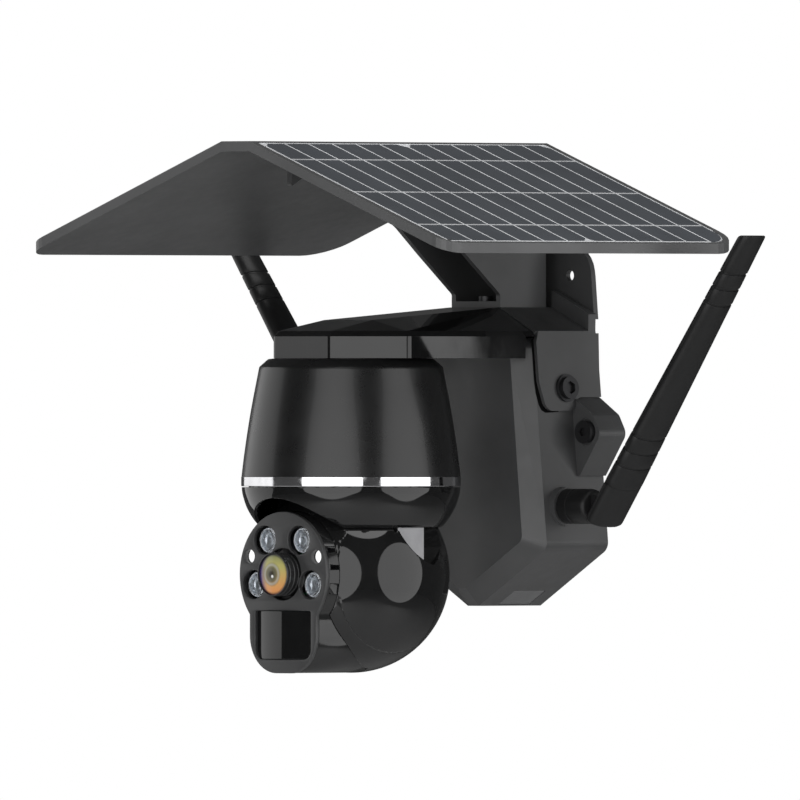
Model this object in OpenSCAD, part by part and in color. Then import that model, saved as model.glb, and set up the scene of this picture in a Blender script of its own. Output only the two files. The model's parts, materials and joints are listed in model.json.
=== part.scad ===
// Solar-powered pan-and-tilt security camera on a wall bracket.
// Origin: midway between the wall plate's two screw holes, on its back face.
// +X runs along the wall, +Y points into the wall and +Z is up.
// The pieces are laid out from the eye point, where the pan axis and the tilt axis cross.

/* [Placement] */
// Distance from the wall to the pan axis
reach = 131.5; // [125:0.5:140]
// Height of the wall screws above the eye point
eye_drop = 149.5; // [140:0.5:160]

/* [Roof] */
// Half of the roof's width
roof_half = 151; // [145:1:160]
// Half of the flat strip along the ridge
ridge_half = 10; // [6:1:14]
// Height of the ridge above the eye point
ridge_top = 216; // [216:1:220]
// Slope of each wing
roof_slope = 19.9; // [18:0.1:20]
// Thickness of the roof moulding, measured straight down
roof_thick = 5.1; // [4:0.1:6]
// Front edge of the roof
roof_front = -80; // [-90:1:-60]
// Back edge of the roof
roof_back = 127; // [120:1:130]
// Width of a solar sheet along the slope
sheet_width = 145.6; // [130:0.2:145.6]
// Number of cell strips on each wing
strip_count = 12; // [6:2:12]
// Distance from one cell strip to the next
strip_pitch = 16.5; // [14:0.1:16.5]

/* [Neck and wall bracket] */
// Half of the neck's width
neck_half = 17.5; // [16:0.5:18]
// Thickness of the neck's walls
neck_wall = 3; // [2:0.5:4]
// Height of the bracket's flat top, where the neck stands
hood_top = 133.5; // [133.5:0.5:134]
// Front edge of the bracket
hood_front = 86; // [86:0.5:88]
// Thickness of the wall plate
plate_thick = 3; // [3:0.5:4]
// Distance between the two wall screws
wall_spacing = 50; // [40:1:56]
// Radius of a wall screw hole
wall_hole_r = 2.8; // [2:0.1:3.5]

/* [Electronics box] */
// Front face of the box
box_front = 77; // [77:0.5:78]
// Where the front shell meets the rear shell
box_split = 121.5; // [120:0.5:122]
// Back face of the box
box_back = 128.3; // [127:0.1:128.3]
// Wall thickness of both shells
box_wall = 2.5; // [2:0.1:3]
// Depth of the bevel round the front face
box_bevel = 8.3; // [6:0.1:9]

/* [Pan and tilt head] */
// Radius of the dome at its trim ring
dome_r = 54.9; // [54.9:0.1:56]
// Radius of the ball
ball_r = 49.4; // [48:0.1:49.4]
// Half of the ball's middle slice
slice_half = 30; // [28:0.5:30]
// Radius of the round part of the eye plate
eye_r = 31.3; // [30:0.1:31.3]
// Front face of the eye plate
eye_front = -47.3; // [-48:0.1:-47]

/* [Antennas] */
// Distance from the middle to a fold pin
fold_x = 85.5; // [85:0.5:88]
// Distance of the antenna sockets behind the pan axis
antenna_y = 98.5; // [96:0.5:99]
// Height of the antenna sockets above the eye point
antenna_z = 33.75; // [32:0.25:36]
// Outward lean of an antenna at rest
antenna_lean = 36.6; // [35:0.1:40]
// Distance from the fold pin to the tip
antenna_length = 169; // [160:1:172]

/* [Hidden] */

$fn = 64;
corner_steps = 6;
fit = 0.1;
slope_rate = tan(roof_slope);
side_lean = 5.9;
lean_rate = tan(side_lean);
cut_slope = 30.5;
colour_shell = [0.16, 0.16, 0.17];
colour_gloss = [0.05, 0.05, 0.06];
colour_steel = [0.62, 0.63, 0.65];
colour_board = [0.05, 0.30, 0.16];

// ---------- outlines ----------

function unit(v) = v / norm(v);

// Arc that replaces corner q, whose third value is its radius
function corner(p, q, s) =
    let (at = [q.x, q.y])
    let (a = unit([p.x, p.y] - at))
    let (b = unit([s.x, s.y] - at))
    let (half = acos(a * b) / 2)
    let (centre = at + unit(a + b) * q.z / sin(half))
    let (from = at + a * q.z / tan(half) - centre)
    let (to = at + b * q.z / tan(half) - centre)
    let (start = atan2(from.y, from.x))
    let (swing = atan2(from.x * to.y - from.y * to.x, from * to))
    q.z == 0
        ? [at]
        : [for (i = [0:corner_steps]) centre + q.z * [cos(start + swing * i / corner_steps),
                                                      sin(start + swing * i / corner_steps)]];

// Closed outline from [x, y, corner radius] points
function rounded(points) =
    let (n = len(points))
    [for (i = [0:n - 1]) each corner(points[(i + n - 1) % n], points[i], points[(i + 1) % n])];

// Right-hand points followed by their mirror images
function both_halves(points) =
    concat(points, [for (i = [len(points) - 1:-1:0]) [-points[i].x, points[i].y, points[i].z]]);

// Half-width of the box at height z
function box_half(z) = 43.3 + (107 - z) * lean_rate;

// Height of the roof's underside at distance x from the middle
function roof_under(x) = ridge_top - roof_thick - max(0, abs(x) - ridge_half) * slope_rate;

// ---------- placing ----------

module at_eye() {
    translate([0, -reach, -eye_drop]) children();
}

module both_sides() {
    children();
    mirror([1, 0, 0]) children();
}

module along_y(y0, y1) {
    translate([0, y1, 0]) rotate([90, 0, 0]) linear_extrude(y1 - y0) children();
}

module along_x(x0, x1) {
    translate([x0, 0, 0]) rotate([90, 0, 90]) linear_extrude(x1 - x0) children();
}

module rod_x(r, x0, x1) {
    translate([x0, 0, 0]) rotate([0, 90, 0]) cylinder(r = r, h = x1 - x0);
}

module rod_y(r, y0, y1) {
    translate([0, y0, 0]) rotate([-90, 0, 0]) cylinder(r = r, h = y1 - y0);
}

module rod_z(r, z0, z1) {
    translate([0, 0, z0]) cylinder(r = r, h = z1 - z0);
}

module block(low, high) {
    translate(low) cube(high - low);
}

// ---------- roof ----------

wing_drop = (roof_half - ridge_half) * slope_rate;
sheet_depth = 1.4;
sheet_length = 200;
sheet_corner = 10;
sheet_start = 2.4;
roof_corner = 10.5;
back_corner = 18;
roof_mid = (roof_front + roof_back) / 2;

module gable_section() {
    low = ridge_top - roof_thick;
    polygon([
        [-roof_half, ridge_top - wing_drop], [-ridge_half, ridge_top],
        [ridge_half, ridge_top], [roof_half, ridge_top - wing_drop],
        [roof_half, low - wing_drop], [ridge_half, low],
        [-ridge_half, low], [-roof_half, low - wing_drop]
    ]);
}

// Lies in the plane of the right wing: x runs down the slope from the ridge and z points away from it
module on_wing() {
    translate([ridge_half, roof_mid, ridge_top]) rotate([0, roof_slope, 0]) children();
}

module sheet_outline(inset) {
    half = sheet_length / 2 - inset;
    low_edge = sheet_start + sheet_width - inset;
    polygon(rounded([
        [sheet_start + inset, -half, 0], [low_edge, -half, sheet_corner - inset],
        [low_edge, half, back_corner - 1 - inset], [sheet_start + inset, half, 0]
    ]));
}

neck_screw_y = [94, 110];
roof_screw_y = [-5, 100];
roof_screw_x = 8;

module roof_tray() {
    color(colour_shell) at_eye() difference() {
        intersection() {
            along_y(roof_front, roof_back) gable_section();
            translate([0, 0, ridge_top - 70]) linear_extrude(80)
                polygon(rounded(both_halves([
                    [roof_half, roof_front, roof_corner], [roof_half, roof_back, back_corner]
                ])));
        }
        both_sides() on_wing() translate([0, 0, -sheet_depth]) linear_extrude(sheet_depth + 5)
            sheet_outline(0);
        for (x = [-roof_screw_x, roof_screw_x], y = roof_screw_y)
            translate([x, y, 0]) rod_z(1.6, ridge_top - roof_thick - 1, ridge_top - 1.2);
    }
}

module solar_sheet() {
    color([0.85, 0.86, 0.88]) at_eye() on_wing() translate([0, 0, -sheet_depth])
        linear_extrude(sheet_depth - 0.3) sheet_outline(fit);
}

module solar_sheet_left() {
    mirror([1, 0, 0]) solar_sheet();
}

module solar_sheet_right() {
    solar_sheet();
}

cell_gap = 0.5;
cell_chamfer = 5;
cell_inset = 0.9;

// One wing's strips: two groups, each cut from a square cell with clipped corners
module solar_cells() {
    group_length = strip_pitch * strip_count / 2;
    x0 = sheet_start + cell_inset;
    x1 = sheet_start + sheet_width - cell_inset;
    c = cell_chamfer;
    h = group_length - cell_gap;
    color([0.12, 0.12, 0.16]) at_eye() on_wing() translate([0, 0, 0.001 - 0.3])
        for (group = [-1, 0], strip = [0:strip_count / 2 - 1])
            translate([0, group * group_length + cell_gap / 2, 0])
                linear_extrude(0.3) intersection() {
                    polygon([[x0 + c, 0], [x1 - c, 0], [x1, c], [x1, h - c],
                             [x1 - c, h], [x0 + c, h], [x0, h - c], [x0, c]]);
                    translate([x0, strip * strip_pitch]) square([x1 - x0, strip_pitch - cell_gap]);
                    translate([0, -group * group_length - cell_gap / 2]) sheet_outline(cell_inset);
                }
}

module solar_cells_left() {
    mirror([1, 0, 0]) solar_cells();
}

module solar_cells_right() {
    solar_cells();
}

module roof_screws() {
    color(colour_steel) at_eye() for (x = [-roof_screw_x, roof_screw_x], y = roof_screw_y)
        translate([x, y, 0]) {
            rod_z(3, 203.2, 205.8);
            rod_z(1.55, 205.7, ridge_top - 1.6);
        }
}

// ---------- neck and wall bracket ----------

neck_front = 87;
neck_back = 119;
flange_low = 205.8;

module neck_profile() {
    polygon(rounded([
        [-27.5, 214, 0], [-27.5, 193.6, 0.8], [-19.5, 198, 2], [24, 190, 6], [48, 173, 4], [63, 160, 4],
        [neck_front, 140, 2], [neck_front, hood_top, 0], [neck_back, hood_top, 0], [neck_back, 214, 0]
    ]));
}

module roof_neck() {
    inner = neck_half - neck_wall;
    color(colour_shell) at_eye() difference() {
        intersection() {
            union() {
                both_sides() along_x(inner, neck_half) neck_profile();
                block([-inner, -20, flange_low], [inner, neck_back, 214]);
                block([-inner, neck_front, hood_top], [inner, neck_back, hood_top + neck_wall]);
                block([-inner, neck_back - neck_wall, hood_top], [inner, neck_back, 210]);
            }
            along_y(-40, 125) polygon([
                [-30, roof_under(30)], [-ridge_half, roof_under(0)], [ridge_half, roof_under(0)],
                [30, roof_under(30)], [30, 100], [-30, 100]
            ]);
        }
        for (x = [-roof_screw_x, roof_screw_x], y = roof_screw_y)
            translate([x, y, 0]) rod_z(1.7, 190, 214);
        for (y = neck_screw_y)
            translate([0, y, 0]) rod_z(2.1, 130, 140);
    }
}

module neck_screws() {
    color(colour_steel) at_eye() for (y = neck_screw_y) translate([0, y, 0]) {
        rod_z(3.8, hood_top + neck_wall, hood_top + neck_wall + 2.6);
        rod_z(2, 124, hood_top + neck_wall + 0.1);
        difference() {
            rod_z(3.6, 127.4, 130.8, $fn = 6);
            rod_z(1.9, 127, 131);
        }
    }
}

hood_skin = 2.5;
cheek_thick = 2;
bolt_y = 104.4;
bolt_z = 92.9;

// Lies on the right cheek's outer face at its bolt: x points away from it
module on_cheek() {
    translate([box_half(bolt_z) + fit + cheek_thick, bolt_y, bolt_z]) rotate([0, -side_lean, 0])
        children();
}

// Side view of a cheek, with its edges moved out by d
function cheek_outline(d) = rounded([
    [hood_front + 2 - d, 121.6, 0], [hood_front - d, 116, 5], [hood_front - d, 96, 8], [90 - d, 81.5 - d, 6],
    [109 + d, 81.5 - d, 8], [113 + d, 88.5 - d, 3], [box_back + 0.4, 88.5 - d, 0], [box_back + 0.4, 121.6, 0]
]);

module cheek() {
    inner = [for (z = [124, 78]) box_half(z) + fit];
    intersection() {
        along_y(hood_front, box_back + 0.5) polygon([
            [inner[0], 124], [inner[0] + cheek_thick, 124], [inner[1] + cheek_thick, 78], [inner[1], 78]
        ]);
        along_x(30, 60) polygon(cheek_outline(0));
    }
}

module wall_bracket() {
    plate_front = reach - plate_thick;
    shoulder = box_half(121.5) + fit + cheek_thick;
    color(colour_shell) at_eye() difference() {
        union() {
            along_y(plate_front, reach) polygon(rounded(both_halves([
                [43.5, 82, 6], [42.4, 127, 2], [40.4, 149, 2], [38, 164, 14]
            ])));
            along_y(hood_front, plate_front + 0.1) polygon([
                [-shoulder, 121.5], [-neck_half, hood_top], [neck_half, hood_top], [shoulder, 121.5],
                [shoulder - cheek_thick, 119.6], [neck_half - 0.6, hood_top - hood_skin],
                [0.6 - neck_half, hood_top - hood_skin], [cheek_thick - shoulder, 119.6]
            ]);
            both_sides() along_y(123, plate_front + 0.1)
                polygon([[neck_half, hood_top - 1], [neck_half, 142], [44, 130], [43.8, 121.2]]);
            both_sides() cheek();
        }
        for (x = [-wall_spacing / 2, wall_spacing / 2])
            translate([x, 0, eye_drop]) rod_y(wall_hole_r, plate_front - 1, reach + 1);
        both_sides() block([33.5, plate_front - 0.5, 120.5], [50, reach + 1, 127.5]);
        both_sides() on_cheek() rod_x(3.2, -6, 6);
        for (y = neck_screw_y)
            translate([0, y, 0]) rod_z(2.1, 128, 140);
    }
}

module bracket_bolts() {
    color(colour_steel) at_eye() both_sides() on_cheek() difference() {
        union() {
            rod_x(7, 0, 1.4);
            rod_x(5.6, 1.3, 3.6);
            rod_x(3, -9, 0.1);
        }
        rod_x(3.35, 1.6, 4, $fn = 6);
    }
}

// ---------- electronics box ----------

box_top = 118;
box_low = -16.3;

function box_outline(d) = rounded(both_halves([
    [4, box_low + 1.16 * d, 0], [53 - d, 12.6 + d * 0.63, 6], [42.7 - d, 113.5, 3], [38, box_top - d, 0]
]));

// Front face's outline inside its bevel, moved in by d
function front_outline(d) = rounded(both_halves([
    [3, -7.3 + 1.16 * d, 0], [43.6 - d, 16.8 + d * 0.6, 5], [34.4 - d, 113.5, 2], [31, 117 - d, 0]
]));

module box_form(d) {
    bevel_back = box_front + box_bevel;
    hull() {
        along_y(box_front + d, box_front + d + 0.01) polygon(front_outline(d));
        along_y(bevel_back + d * 0.6, bevel_back + d * 0.6 + 0.01) polygon(box_outline(d));
    }
}

ear_screw = [56, 71];
ear_head_seat = 110.5;

module ear_outline() {
    polygon(rounded([[44, 90, 0], [60.5, 79.5, 4], [66, 70, 5], [51, 49, 0], [46, 49, 0]]));
}

// Lies on the slanting lower right face: x runs up along it, y runs to the wall and z points inside
module on_cut() {
    translate([11, 0, box_low + 7 * tan(cut_slope)]) rotate([0, -cut_slope, 0]) children();
}

collar_out = 54;
board_front = 88;
board_holes = [[-28, 46], [28, 46], [-28, 98], [28, 98]];
arm_screw_x = [-26, -10, 10, 26];
arm_screw_z = 111.9;
recess_depth = 1.9;
pad_depth = 4;
port_x = 1.6;
usb_y = [104, 113];
card_x = -3.4;
card_y = [103, 114.5];
button_at = [1.6, 100.6];

// Clearance that the ears leave round a cheek
module cheek_room() {
    thickness = cheek_thick + 2 * fit + 0.3;
    intersection() {
        along_y(hood_front - 1, box_back + 1) polygon([
            [box_half(124), 124], [box_half(124) + thickness, 124],
            [box_half(78) + thickness, 78], [box_half(78), 78]
        ]);
        along_x(30, 60) polygon(cheek_outline(0.4));
    }
}

module box_front_shell() {
    color(colour_shell) at_eye() difference() {
        union() {
            difference() {
                union() {
                    box_form(0);
                    along_y(box_front + box_bevel, box_split) polygon(box_outline(0));
                }
                box_form(box_wall);
                along_y(box_front + box_bevel + box_wall * 0.6, box_split + 1)
                    polygon(box_outline(box_wall));
            }
            both_sides() difference() {
                along_y(ear_head_seat - 0.5, box_split) ear_outline();
                along_y(90, box_split + 1) polygon(box_outline(1));
                cheek_room();
            }
            both_sides() translate([0, antenna_y, antenna_z]) rod_x(9.7, 48.5, collar_out);
            for (at = board_holes)
                translate([at.x, 0, at.y]) rod_y(3, box_front + 2, board_front);
            on_cut() block([-9, 95.5, 1.5], [9, 120.5, pad_depth]);
        }
        both_sides() translate([ear_screw.x, 0, ear_screw.y]) rod_y(2.2, 90, box_split + 1);
        both_sides() translate([ear_screw.x, 0, ear_screw.y]) rod_y(6.7, 90, ear_head_seat);
        both_sides() translate([0, antenna_y, antenna_z]) rod_x(3.3, 44, 56);
        both_sides() on_cheek() rod_x(3.2, -12, 0);
        for (x = arm_screw_x)
            translate([x, 0, arm_screw_z]) rod_y(1.6, box_front - 1, box_front + 10);
        for (at = board_holes)
            translate([at.x, 0, at.y]) rod_y(1.25, box_front + 4, board_front + 1);
        on_cut() {
            block([-6.8, 97.7, -3], [6.8, 119.3, recess_depth]);
            block([port_x - 1.7, usb_y[0] - 0.1, 0], [port_x + 1.7, usb_y[1] + 0.1, 6]);
            block([card_x - 0.9, card_y[0], 0], [card_x + 0.9, card_y[1], 6]);
            translate([button_at.x, button_at.y, 0]) rod_z(1.35, 0, 6);
        }
    }
}

module box_rear_shell() {
    color(colour_shell) at_eye() difference() {
        union() {
            along_y(box_split, box_back) polygon(box_outline(0));
            both_sides() difference() {
                along_y(box_split, box_back) ear_outline();
                cheek_room();
            }
        }
        along_y(box_split - 1, box_back - box_wall) polygon(box_outline(box_wall));
        along_y(box_split - 1, box_split + 0.9) difference() {
            polygon(box_outline(0.7));
            polygon(box_outline(1.9));
        }
        both_sides() translate([ear_screw.x, 0, ear_screw.y]) rod_y(1.7, box_split - 1, box_back - 1);
    }
}

module box_gasket() {
    color([0.3, 0.3, 0.32]) at_eye() along_y(box_split, box_split + 0.85) difference() {
        polygon(box_outline(0.8));
        polygon(box_outline(1.8));
    }
}

module shell_screws() {
    color(colour_steel) at_eye() both_sides() translate([ear_screw.x, 0, ear_screw.y]) difference() {
        union() {
            rod_y(5.7, ear_head_seat - 3.4, ear_head_seat);
            rod_y(1.65, ear_head_seat - 0.1, box_back - 1.5);
        }
        rod_y(2.4, ear_head_seat - 4, ear_head_seat - 1.8, $fn = 6);
    }
}

cell_x = [-20, 0, 20];
cell_at = [110.5, 38];

module battery_cells() {
    color([0.15, 0.35, 0.6]) at_eye() for (x = cell_x) translate([x, cell_at.x, cell_at.y]) {
        rod_z(9.2, 0, 64);
        rod_z(3, 63.9, 65);
    }
}

module battery_holder() {
    color([0.1, 0.1, 0.1]) at_eye() difference() {
        block([-31, 107, 36], [31, 121, 105]);
        for (x = cell_x)
            translate([x, cell_at.x, 0]) rod_z(9.5, 38, 103.1);
        block([-29, 106, 45], [29, cell_at.x, 96]);
    }
}

module main_board() {
    color(colour_board) at_eye() difference() {
        union() {
            block([-33, board_front, 40], [33, board_front + 1.6, 104]);
            block([-10, board_front + 1.5, 66], [8, board_front + 3.4, 84]);
            block([-26, board_front + 1.5, 50], [-14, board_front + 5, 60]);
            block([12, board_front + 1.5, 88], [24, board_front + 4, 96]);
        }
        for (at = board_holes)
            translate([at.x, 0, at.y]) rod_y(1.5, board_front - 1, board_front + 3);
    }
}

module board_screws() {
    color(colour_steel) at_eye() for (at = board_holes) translate([at.x, 0, at.y]) {
        rod_y(2.6, board_front + 1.6, board_front + 3.4);
        rod_y(1.2, board_front - 7, board_front + 1.7);
    }
}

module speaker() {
    color([0.25, 0.25, 0.25]) at_eye() translate([-18, 0, 22]) {
        rod_y(13, box_front + box_wall + 0.2, box_front + 6);
        rod_y(7.5, box_front + 5.9, box_front + 10);
    }
}

module port_board() {
    color(colour_board) at_eye() on_cut() block([-7.5, 97, 9.3], [7.5, 119, 10.5]);
}

module usb_socket() {
    color(colour_steel) at_eye() on_cut() difference() {
        block([port_x - 1.6, usb_y[0], 2.3], [port_x + 1.6, usb_y[1], 9.3]);
        block([port_x - 1.25, usb_y[0] + 0.35, 2], [port_x + 1.25, usb_y[1] - 0.35, 8.3]);
    }
}

module card_slot() {
    color(colour_steel) at_eye() on_cut() difference() {
        block([card_x - 1.6, card_y[0] - 0.6, 4.1], [card_x + 1.6, card_y[1] + 0.6, 9.3]);
        block([card_x - 0.5, card_y[0] + 0.2, 4], [card_x + 0.5, card_y[1] - 0.2, 8.6]);
    }
}

flap_hinge = [5.7, 0.9];

module port_cover() {
    color([0.2, 0.2, 0.21]) at_eye() on_cut() {
        block([-6.5, 98, 0.1], [flap_hinge.x, 119, 1.7]);
        translate([flap_hinge.x, 0, flap_hinge.y]) rod_y(0.8, 98, 119);
    }
}

module reset_button() {
    color([0.8, 0.2, 0.2]) at_eye() on_cut() translate([button_at.x, button_at.y, 0]) {
        rod_z(1.3, 2.4, 7.4);
        rod_z(2.1, 5, 7.4);
    }
}

// ---------- antennas ----------

jack_r = 3.2;
barrel_r = 8.8;
knuckle_start = 54.3;
fork_half = 5.2;
tongue_r = 6.8;

module antenna_jacks() {
    color([0.75, 0.62, 0.3]) at_eye() both_sides() translate([0, antenna_y, antenna_z]) {
        rod_x(jack_r, 42, 62);
        rod_x(5.2, 43, 46.4, $fn = 6);
    }
}

module antenna_knuckle_right() {
    color(colour_shell) at_eye() translate([0, antenna_y, antenna_z]) difference() {
        intersection() {
            rod_x(barrel_r, knuckle_start, fold_x + barrel_r);
            union() {
                block([knuckle_start, -10, -10], [fold_x, 10, 10]);
                translate([fold_x, 0, 0]) rod_y(barrel_r, -10, 10);
            }
        }
        block([fold_x - 9.4, -fork_half, -10], [fold_x + 12, fork_half, 10]);
        rod_x(jack_r + 0.06, knuckle_start - 1, 63);
        translate([fold_x, 0, 0]) rod_y(2, -10, 10);
    }
}

module antenna_knuckle_left() {
    mirror([1, 0, 0]) antenna_knuckle_right();
}

// Thin oval slice of an antenna blade
module blade_slice(z, thick_half, wide_half) {
    translate([0, 0, z]) linear_extrude(0.1) scale([thick_half, wide_half]) circle(1, $fn = 32);
}

module antenna_right() {
    color(colour_shell) at_eye() translate([fold_x, antenna_y, antenna_z]) rotate([0, antenna_lean, 0]) {
        rod_y(tongue_r, -5, 5);
        block([-4.6, -5, 0], [4.6, 5, 11]);
        hull() {
            blade_slice(9.9, 5, 9.4);
            blade_slice(16, 5.9, 11.8);
        }
        hull() {
            blade_slice(16, 5.9, 11.8);
            translate([0, 0, antenna_length]) rotate([0, -antenna_lean, 0])
                blade_slice(0, 4.9, 7.5);
        }
        rod_y(1.93, -8.2, 8.2);
    }
}

module antenna_left() {
    mirror([1, 0, 0]) antenna_right();
}

// ---------- arm ----------

arm_low = 107.9;
arm_split = 118.75;
arm_bevel_top = 121.5;
arm_wall = 2.4;
arm_back = hood_front - 0.1;
arm_side = [[20.3, -34.2, 4], [48.2, -6.3, 4]];
hump_front = [17.5, -2, 127];

function arm_outline(d, back) = rounded(both_halves(concat(
    [[arm_side[0].x - 0.5 * d, arm_side[0].y + d, 4], [arm_side[1].x - d, arm_side[1].y + 0.5 * d, 4]],
    [[46 - d, box_front - 0.1, 0]],
    back > box_front ? [[44 - d, back, 0]] : []
)));

dome_screw_at = [[-22, -14], [22, -14], [-22, 26], [22, 26]];

module arm_base() {
    color(colour_gloss) at_eye() difference() {
        translate([0, 0, arm_low]) linear_extrude(arm_split - arm_low) polygon(arm_outline(0, 0));
        translate([0, 0, arm_low + arm_wall]) linear_extrude(20)
            intersection() {
                polygon(arm_outline(arm_wall, 0));
                translate([-60, -60]) square([120, box_front + 60 - 2.5]);
            }
        rod_z(9, 100, 115);
        for (at = dome_screw_at)
            translate([at.x, at.y, 0]) rod_z(1.7, 100, 115);
        for (x = arm_screw_x)
            translate([x, 0, arm_screw_z]) rod_y(1.6, 60, 80);
    }
}

module arm_cover_form(d) {
    hull() {
        translate([0, 0, arm_split - d]) linear_extrude(0.01) polygon(arm_outline(d, arm_back - d));
        translate([0, 0, arm_bevel_top - d]) linear_extrude(0.01)
            polygon(arm_outline(2.4 + d, arm_back - d));
        for (x = [-hump_front.x + d / 2, hump_front.x - d / 2]) {
            translate([x, hump_front.y, hump_front.z - d]) cube(0.01, center = true);
            translate([x, arm_back - d, hood_top - d]) cube(0.01, center = true);
        }
    }
}

module arm_cover() {
    color(colour_gloss) at_eye() difference() {
        arm_cover_form(0);
        arm_cover_form(arm_wall);
        block([-60, -60, 100], [60, 100, arm_split]);
    }
}

module arm_screws() {
    color(colour_steel) at_eye() {
        for (x = arm_screw_x) translate([x, 0, arm_screw_z]) {
            rod_y(2.4, box_front + box_wall, box_front + box_wall + 2.4);
            rod_y(1.5, 70, box_front + box_wall + 0.1);
        }
        for (at = dome_screw_at) translate([at.x, at.y, 0]) {
            rod_z(2.9, arm_low + arm_wall, arm_low + arm_wall + 2.2);
            rod_z(1.5, 100, arm_low + arm_wall + 0.1);
        }
    }
}

// ---------- dome ----------

ring_high = 48.75;
ring_low = 43.9;
skirt_r = 53.4;
deck_low = 62;

module ring_of(count, radius, first = 0) {
    for (i = [0:count - 1])
        rotate([0, 0, first + i * 360 / count]) translate([radius, 0, 0]) children();
}

module dome_housing() {
    color(colour_gloss) at_eye() difference() {
        union() {
            rotate_extrude($fn = 96) polygon([
                [0, arm_low], [38, arm_low], [38.6, 106.5], [41.3, 106.5], [44.4, 105.4], [46.1, 102.85],
                [48, 96.5], [50, 87], [51.6, 78], [53.2, 66], [54.3, 55], [54.8, ring_high],
                [skirt_r, ring_high], [skirt_r, ring_low + 0.1], [51.8, ring_low + 0.1],
                [51.8, 53], [51, 66], [49.4, 78], [47.6, 88], [45.2, 98], [43, 103.4], [0, 103.4]
            ]);
            for (at = dome_screw_at)
                translate([at.x, at.y, 0]) rod_z(4, 96, 104);
            ring_of(3, 43, 90) rod_z(4.2, deck_low + 3, 100);
        }
        rod_z(9, 100, 110);
        for (at = dome_screw_at)
            translate([at.x, at.y, 0]) rod_z(1.55, 98, 110);
        ring_of(3, 43, 90) rod_z(1.3, deck_low, 75);
    }
}

module trim_ring() {
    color([0.85, 0.86, 0.88]) at_eye() rotate_extrude($fn = 96) polygon([
        [skirt_r, ring_low], [dome_r - 0.4, ring_low], [dome_r, ring_low + 0.5],
        [dome_r, ring_high - 0.5], [dome_r - 0.3, ring_high], [skirt_r, ring_high]
    ]);
}

shaft_r = 2.5;
hub_r = 8;

module pan_base() {
    color([0.3, 0.3, 0.32]) at_eye() difference() {
        union() {
            rod_z(49.5, deck_low, deck_low + 3);
            rod_z(15.5, 57.4, deck_low + 1);
        }
        rod_z(13, 57, 61.4);
        rod_z(9, 57, deck_low + 4);
        ring_of(3, 43, 90) rod_z(1.5, deck_low - 1, deck_low + 4);
        ring_of(3, 43, 90) rod_z(2.8, deck_low - 1, deck_low + 1.2);
        translate([30, 0, 0]) rod_z(6, deck_low - 1, deck_low + 4);
    }
    color(colour_steel) at_eye() ring_of(3, 43, 90) {
        rod_z(2.7, deck_low - 0.8, deck_low + 1.2);
        rod_z(1.25, deck_low + 1.1, 72);
    }
}

module pan_bearing() {
    color(colour_steel) at_eye() rotate_extrude() difference() {
        translate([hub_r + 0.06, 57.6]) square([12.88 - hub_r, 3.8]);
        translate([10.6, 57]) square([0.6, 1]);
        translate([10.6, 61]) square([0.6, 1]);
    }
}

module pan_motor() {
    color(colour_steel) at_eye() difference() {
        union() {
            rod_z(14, deck_low + 3, deck_low + 22);
            block([-17.5, -3.5, deck_low + 3], [17.5, 3.5, deck_low + 4]);
        }
        rod_z(shaft_r + 0.06, deck_low + 2, deck_low + 12);
    }
}

module pan_shaft() {
    color([0.75, 0.62, 0.3]) at_eye() rod_z(shaft_r, 54, deck_low + 11);
}

plate_low = 53.5;

module pan_plate() {
    color([0.25, 0.25, 0.27]) at_eye() difference() {
        union() {
            rod_z(51, plate_low, plate_low + 2.5);
            rod_z(hub_r, plate_low, 61.6);
        }
        rod_z(shaft_r, 54, 70);
        ring_of(3, 46, 30) rod_z(1.6, 50, 60);
        both_sides() translate([38, 0, 0]) ring_of(2, 5, 90) rod_z(1.6, 50, 60);
        translate([0, 24, 0]) rod_z(6, 50, 60);
    }
}

bowl_cut_r = 38;
arm_x = [39.5, 43];
arm_half = 9;

module pan_bowl() {
    color(colour_gloss) at_eye() difference() {
        union() {
            rotate_extrude($fn = 96) polygon([
                [54.7, 43.4], [54.3, 40.5], [53.4, 37], [52.3, 33.6], [50.8, 30.6], [48.8, 27.6],
                [46.7, 24.8], [45.2, 23.3], [44, 23.5],
                [45.4, 26.2], [47.4, 28.9], [49.3, 31.8], [50.6, 34.8], [51.3, 38], [49.6, 42],
                [49.6, plate_low], [51.3, plate_low], [51.3, 43.4]
            ]);
            ring_of(3, 46, 30) rod_z(3.8, 45, plate_low);
        }
        rod_y(bowl_cut_r, -60, 0);
        both_sides() block([arm_x[0] - 0.3, -arm_half - 0.3, 20], [arm_x[1] + 0.3, arm_half + 0.3, 60]);
        ring_of(3, 46, 30) rod_z(1.25, 46, 60);
    }
}

module bowl_screws() {
    color(colour_steel) at_eye() ring_of(3, 46, 30) {
        rod_z(2.7, plate_low + 2.5, plate_low + 4.5);
        rod_z(1.2, 47, plate_low + 2.6);
    }
}

pin_r = 3;
foot_high = plate_low;

module yoke() {
    color([0.6, 0.6, 0.62]) at_eye() {
        both_sides() difference() {
            union() {
                along_x(arm_x[0], arm_x[1]) union() {
                    circle(arm_half);
                    translate([-arm_half, 0]) square([2 * arm_half, foot_high]);
                }
                block([32, -arm_half, foot_high - 2.6], [arm_x[1], arm_half, foot_high]);
            }
            rod_x(pin_r + 0.06, 30, 50);
            translate([38, 0, 0]) ring_of(2, 5, 90) rod_z(1.3, 40, 60);
        }
    }
    color(colour_steel) at_eye() both_sides() translate([38, 0, 0]) ring_of(2, 5, 90) {
        rod_z(2.6, plate_low + 2.5, plate_low + 4.4);
        rod_z(1.25, foot_high - 2, plate_low + 2.6);
    }
}

// ---------- ball ----------

ball_wall = 2.4;
slot_x = 38.7;
tilt_low = -5;
tilt_high = 90;
housing_back = -12;

tongue_half = 24;
tongue_low = -49.4;
tongue_corner = 19;

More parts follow.
